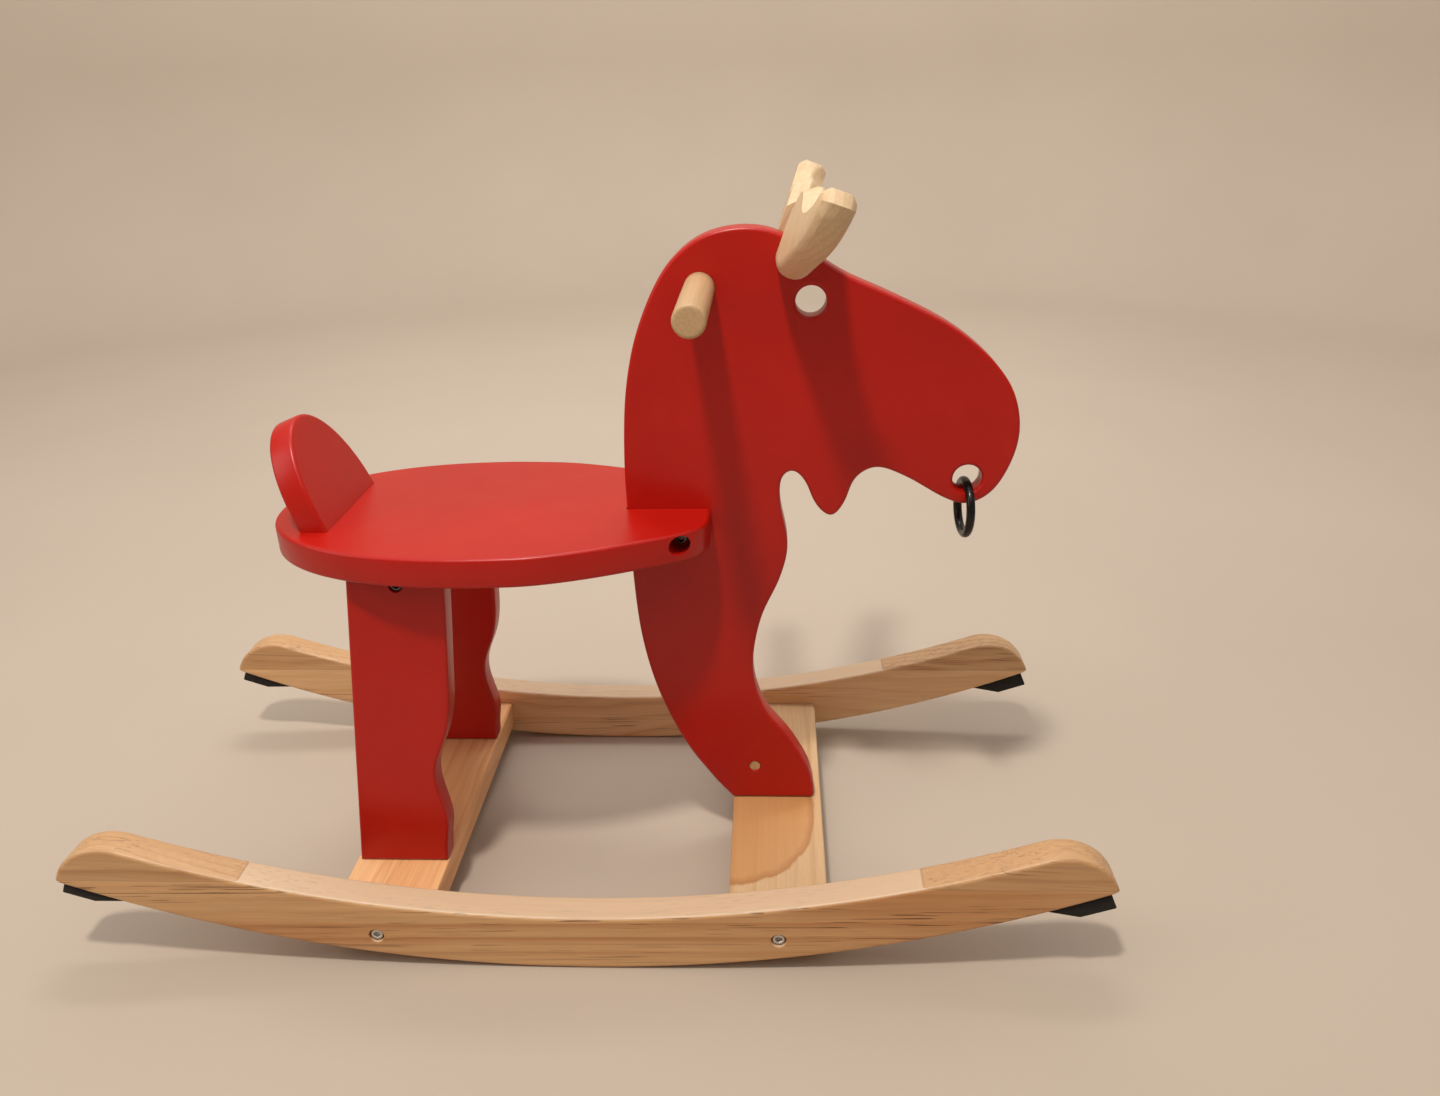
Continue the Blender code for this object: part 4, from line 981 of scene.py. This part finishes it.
def antler_mesh(name, side):
    """A carved palm: round and full at the wrist, cut to flat facets towards the lobes."""
    outline = antler_outline()
    normals = side_normals(outline)
    bevels = antler_bevels(outline)
    half = ANTLER_THICKNESS / 2
    levels = []
    for t in evenly(0.0, 1.0, ANTLER_BEVEL_STEPS):
        ring_points = []
        for point, normal, (breadth, depth, flat) in zip(outline, normals, bevels):
            inset = breadth * ((1 - t) * flat + (1 - math.sin(t * math.pi / 2)) * (1 - flat))
            sunk = depth * (t * flat + (1 - math.cos(t * math.pi / 2)) * (1 - flat))
            ring_points.append((point - normal * inset, -half + sunk))
        levels.append(ring_points)
    levels += [[(point, -y) for point, y in level] for level in reversed(levels)]
    shape = bmesh.new()
    rings = [[shape.verts.new((side * p.x, y, p.y)) for p, y in level] for level in levels]
    for lower, upper in zip(rings, rings[1:]):
        bridge(shape, lower, upper)
    for ring in (rings[0], rings[-1]):
        edges = [shape.edges.get((ring[i - 1], ring[i])) for i in range(len(ring))]
        bmesh.ops.triangle_fill(shape, use_beauty=True, use_dissolve=False, edges=edges)
    mesh = close_mesh(shape, name)
    stand = Matrix.Rotation(math.pi / 2, 4, "Z")
    lean = Matrix.Rotation(math.radians(ANTLER_LEAN_DEG), 4, "Y")
    sweep = Matrix.Rotation(-side * math.radians(ANTLER_SWEEP_DEG[side]), 4, "Z")
    wrist = Matrix.Translation((ANTLER_WRIST_X[side], side * BOARD / 2, ANTLER_WRIST_Z))
    mesh.transform(wrist @ sweep @ lean @ stand)
    edge = BOARD / 2 + 0.0003
    return carve(mesh, block_tool((-1, -edge, 0), (1, edge, 1)), sharp_deg=38.0)


def make_antlers():
    for name, side in SIDES:
        node = f"{name}_antler"
        grain = (0, math.radians(60), 0)
        wood = pale_wood(
            f"{node}_wood", 4.0 + side, LIMEWOOD, grain, pith=(-0.12, 0.50), ring=0.006)
        show(antler_mesh(node, side), node, wood)


def make_nose_ring(plastic):
    low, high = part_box("nose_ring")
    radius = (high.z - low.z) / 2 - RING_TUBE
    shape = bmesh.new()
    loops = []
    for i in range(RING_STEPS):
        a = 2 * math.pi * i / RING_STEPS
        outward = Vector((0, math.cos(a), math.sin(a)))
        loop = []
        for j in range(TUBE_STEPS):
            b = 2 * math.pi * j / TUBE_STEPS
            across = Vector((RING_TUBE * math.sin(b), 0, 0))
            loop.append(shape.verts.new(outward * (radius + RING_TUBE * math.cos(b)) + across))
        loops.append(loop)
    for i in range(RING_STEPS):
        bridge(shape, loops[i - 1], loops[i])
    mesh = close_mesh(shape, "nose_ring", 180.0)
    mesh.transform(Matrix.Rotation(math.radians(RING_TWIST_DEG), 4, "Z"))
    show(mesh, "nose_ring", plastic, "ring")


def make_stops(rubber):
    """The wedges keep their CAD shape, with flat-shaded faces."""
    for node in each_corner("stop"):
        shape = bmesh.new()
        shape.from_mesh(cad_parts[node].data)
        bmesh.ops.remove_doubles(shape, verts=shape.verts, dist=1e-5)
        show(close_mesh(shape, node), node, rubber)


def cap_head_profile(length):
    """Socket-head bolt: the head reaches up from height 0 and the shank runs to -length."""
    return [
        (0, 0.0030), (0.0022, 0.0031, 6), (0.0025, 0.0033, 6), (0.0025, 0.0056, 6),
        (0.0028, 0.0060, 6), (0.0042, 0.0060), (0.0046, 0.00595), (0.0049, 0.0057),
        (0.0050, 0.0053), (0.0050, 0.0004), (0.0047, 0.0), (0.0030, 0.0),
        (0.0030, -length + 0.001), (0.0022, -length), (0, -length),
    ]


def make_fasteners(steel, shade_painted_steel):
    """Bolts with socket heads, the seat's sleeve nut, barrel nuts and countersunk screws."""
    shaded = [f"{name}_leg_top_bolt" for name, _ in SIDES] + ["seat_bolt"]
    for node in [*each_corner("rocker_bolt"), *shaded, "foot_bolt"]:
        low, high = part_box(node)
        size = high - low
        axis = max(range(3), key=lambda i: size[i])
        direction = Vector((0, 0, 0))
        direction[axis] = 1 if node.startswith("left") or "_left_" in node else -1
        mesh = turned(node, cap_head_profile(size[axis] - HEAD_HEIGHT), 72)
        # The bolts in deep recesses get darkened steel: painted shade of their recesses.
        finish = shade_painted_steel if node in shaded else steel
        show(placed(mesh, (0, 0, 0), direction), node, finish)
    nut = [
        (0, 0.0), (0.0047, 0.0), (0.0050, 0.0004), (0.0050, 0.0055), (0.0046, 0.0060),
        (0.0030, 0.0060), (0.0027, 0.0058, 6), (0.0025, 0.0056, 6), (0.0025, 0.0032, 6),
        (0, 0.0032),
    ]
    show(placed(turned("seat_nut", nut, 72), (0, 0, 0), (0, 1, 0)), "seat_nut", steel)
    leg_nuts = [f"{name}_leg_top_nut" for name, _ in SIDES]
    for node in [*each_corner("rail_nut"), *leg_nuts, "foot_nut"]:
        make_barrel_nut(node, steel)
    make_screws(steel)


def make_barrel_nut(node, steel):
    """A slotted cylinder with a cross hole. Its slot faces outwards."""
    outward = (0, -1, 0) if node == "foot_nut" else (0, 0, -1)
    half = NUT_HALF_LENGTH
    profile = [(0, -half), (0.0044, -half), (NUT_RADIUS, -half + 0.0005)]
    profile += [(NUT_RADIUS, half - 0.0006), (0.0048, half - 0.0001), (0.0044, half), (0, half)]
    mesh = turned(node, profile, 64)
    slot = block_tool((-0.0007, -0.02, half - 0.0012), (0.0007, 0.02, half + 0.01))
    cross = placed(turned("tool", [(0.0033, -0.02), (0.0033, 0.02)], 32), (0, 0, 0), (1, 0, 0))
    mesh = carve(mesh, slot, cross)
    if node == "foot_nut":
        mesh.transform(Matrix.Rotation(math.radians(12), 4, "Z"))
    show(placed(mesh, (0, 0, 0), outward), node, steel)


def make_screws(steel):
    """Cross-recessed countersunk heads on the shanks of the CAD screws."""
    nodes = each_corner("stop_screw")
    nodes += [f"{name}_leg_screw_{i}" for name, _ in SIDES for i in (1, 2)]
    nodes += ["batten_screw_1", "batten_screw_2", "tail_left_screw", "tail_right_screw"]
    for node in nodes:
        vertices = [v.co.copy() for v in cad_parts[node].data.vertices]
        tip = max(vertices, key=lambda c: c.z)
        lowest = min(v.z for v in vertices)
        base = [c for c in vertices if c.z < lowest + 0.0035]
        head = sum(base, Vector()) / len(base)
        direction = (tip - head).normalized()
        along = [(v - head).dot(direction) for v in vertices]
        length = max(along) - min(along)
        thread = []
        for i in range(int((length - 0.012) / THREAD_PITCH)):
            z = THREAD_START + i * THREAD_PITCH
            thread += [(0.0013, z), (0.00172, z + 0.0006)]
        profile = [(0, 0.0), (0.0038, 0.0), (0.0040, 0.0003), (0.0018, 0.0030)]
        profile += thread + [(0.0012, length - 0.005), (0.0003, length)]
        mesh = turned(node, profile, 24)
        arms = [block_tool((-0.0022, -0.0004, -0.01), (0.0022, 0.0004, 0.0013)),
                block_tool((-0.0004, -0.0022, -0.01), (0.0004, 0.0022, 0.0013))]
        mesh = carve(mesh, *arms)
        mesh.transform(aimed(direction))
        show(mesh, node, steel)


# -------------------- stage


def look_from(place, target):
    return (Vector(target) - Vector(place)).to_track_quat("-Z", "Y").to_euler()


def area_light(name, place, target, size, power, colour):
    light = bpy.data.lights.new(name, "AREA")
    light.shape = "DISK"
    light.size = size
    light.energy = power
    light.color = colour
    lamp = fresh_object(name, light)
    lamp.location = place
    lamp.rotation_euler = look_from(place, target)


def make_stage():
    """A plain pale floor that curves up into a plain round wall, and soft lamps."""
    profile = [(radius, 0.0) for radius in (0.0, 0.6, 1.2, 1.9)]
    for a in evenly(0, math.pi / 2, 12):
        radius = STAGE_RADIUS + STAGE_BEND * math.sin(a)
        profile.append((radius, STAGE_BEND * (1 - math.cos(a))))
    profile.append((STAGE_RADIUS + STAGE_BEND, STAGE_HEIGHT))
    shape = bmesh.new()
    rings = []
    for radius, height in profile:
        count = STAGE_SIDES if radius else 1
        rings.append([
            shape.verts.new((radius * math.cos(2 * math.pi * i / count),
                             radius * math.sin(2 * math.pi * i / count), height))
            for i in range(count)
        ])
    for lower, upper in zip(rings, rings[1:]):
        if len(lower) == 1:
            bridge(shape, upper, lower)
        else:
            bridge(shape, lower, upper)
    bmesh.ops.recalc_face_normals(shape, faces=shape.faces)
    mesh = bpy.data.meshes.new("floor")
    shape.to_mesh(mesh)
    shape.free()
    mesh.shade_smooth()
    floor = fresh_object("floor", mesh)
    floor.location = (0, 0, cad_box[0][2] - 0.0002)
    floor.data.materials.append(pale_floor("pale_floor"))
    world = bpy.data.worlds.new("studio")
    bpy.context.scene.world = world
    world.use_nodes = True
    background = world.node_tree.nodes["Background"]
    background.inputs["Color"].default_value = (1.0, 0.97, 0.93, 1.0)
    background.inputs["Strength"].default_value = 0.86
    area_light("key", (-0.13, -0.80, 2.25), (0.0, -0.02, 0.20), 0.18, 29, (1.0, 0.94, 0.86))
    area_light("left_fill", (-2.2, -0.9, 1.4), (0.0, 0.0, 0.25), 1.3, 9, (1.0, 0.95, 0.89))
    area_light("wall_wash", (0.0, 0.9, 2.6), (0.0, 2.9, 1.2), 1.4, 52, (1.0, 0.97, 0.93))
    bpy.context.scene.view_settings.view_transform = "Standard"


def make_camera():
    """Camera at the photograph's viewing angle."""
    yaw, pitch, roll = (math.radians(a) for a in (2.965, 23.892, -1.455))
    ahead = Vector((
        -math.sin(yaw) * math.cos(pitch), math.cos(yaw) * math.cos(pitch), -math.sin(pitch)))
    level = Vector((math.cos(yaw), math.sin(yaw), 0))
    above = level.cross(ahead)
    right = math.cos(roll) * level + math.sin(roll) * above
    up = math.cos(roll) * above - math.sin(roll) * level
    camera = bpy.data.cameras.new("camera")
    camera.sensor_width = 36.0
    camera.lens = 27.025
    camera.shift_y = -0.0031
    camera.clip_start = 0.01
    holder = fresh_object("camera", camera)
    holder.matrix_world = Matrix.Translation((0.15634, -0.84614, 0.67725)) @ Matrix(
        (right, up, -ahead)).transposed().to_4x4()
    bpy.context.scene.camera = holder


def build():
    paints = {part: red_paint(f"{part}_paint", seed)
              for seed, part in enumerate(("head", "seat", "tail", "leg", "batten"))}
    steel = zinc("zinc_steel")
    make_rockers()
    make_rails()
    make_head_board(paints["head"])
    make_seat(paints["seat"])
    make_tail_rest(paints["tail"])
    make_rear_legs(paints["leg"])
    make_batten(paints["batten"])
    make_handle_bar()
    make_antlers()
    make_nose_ring(black_plastic("black_plastic"))
    make_stops(black_rubber("black_rubber"))
    # The darker zinc passed last paints the shade inside the deep bolt recesses.
    make_fasteners(steel, zinc("shade_painted_steel", (0.070, 0.066, 0.062), (0.130, 0.125, 0.120)))
    dowel_wood = pale_wood("dowel_wood", 9.0, BEECH, ALONG_Y)
    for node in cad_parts:
        if "dowel" in node:
            keep(node, dowel_wood)
    make_stage()
    make_camera()


build()
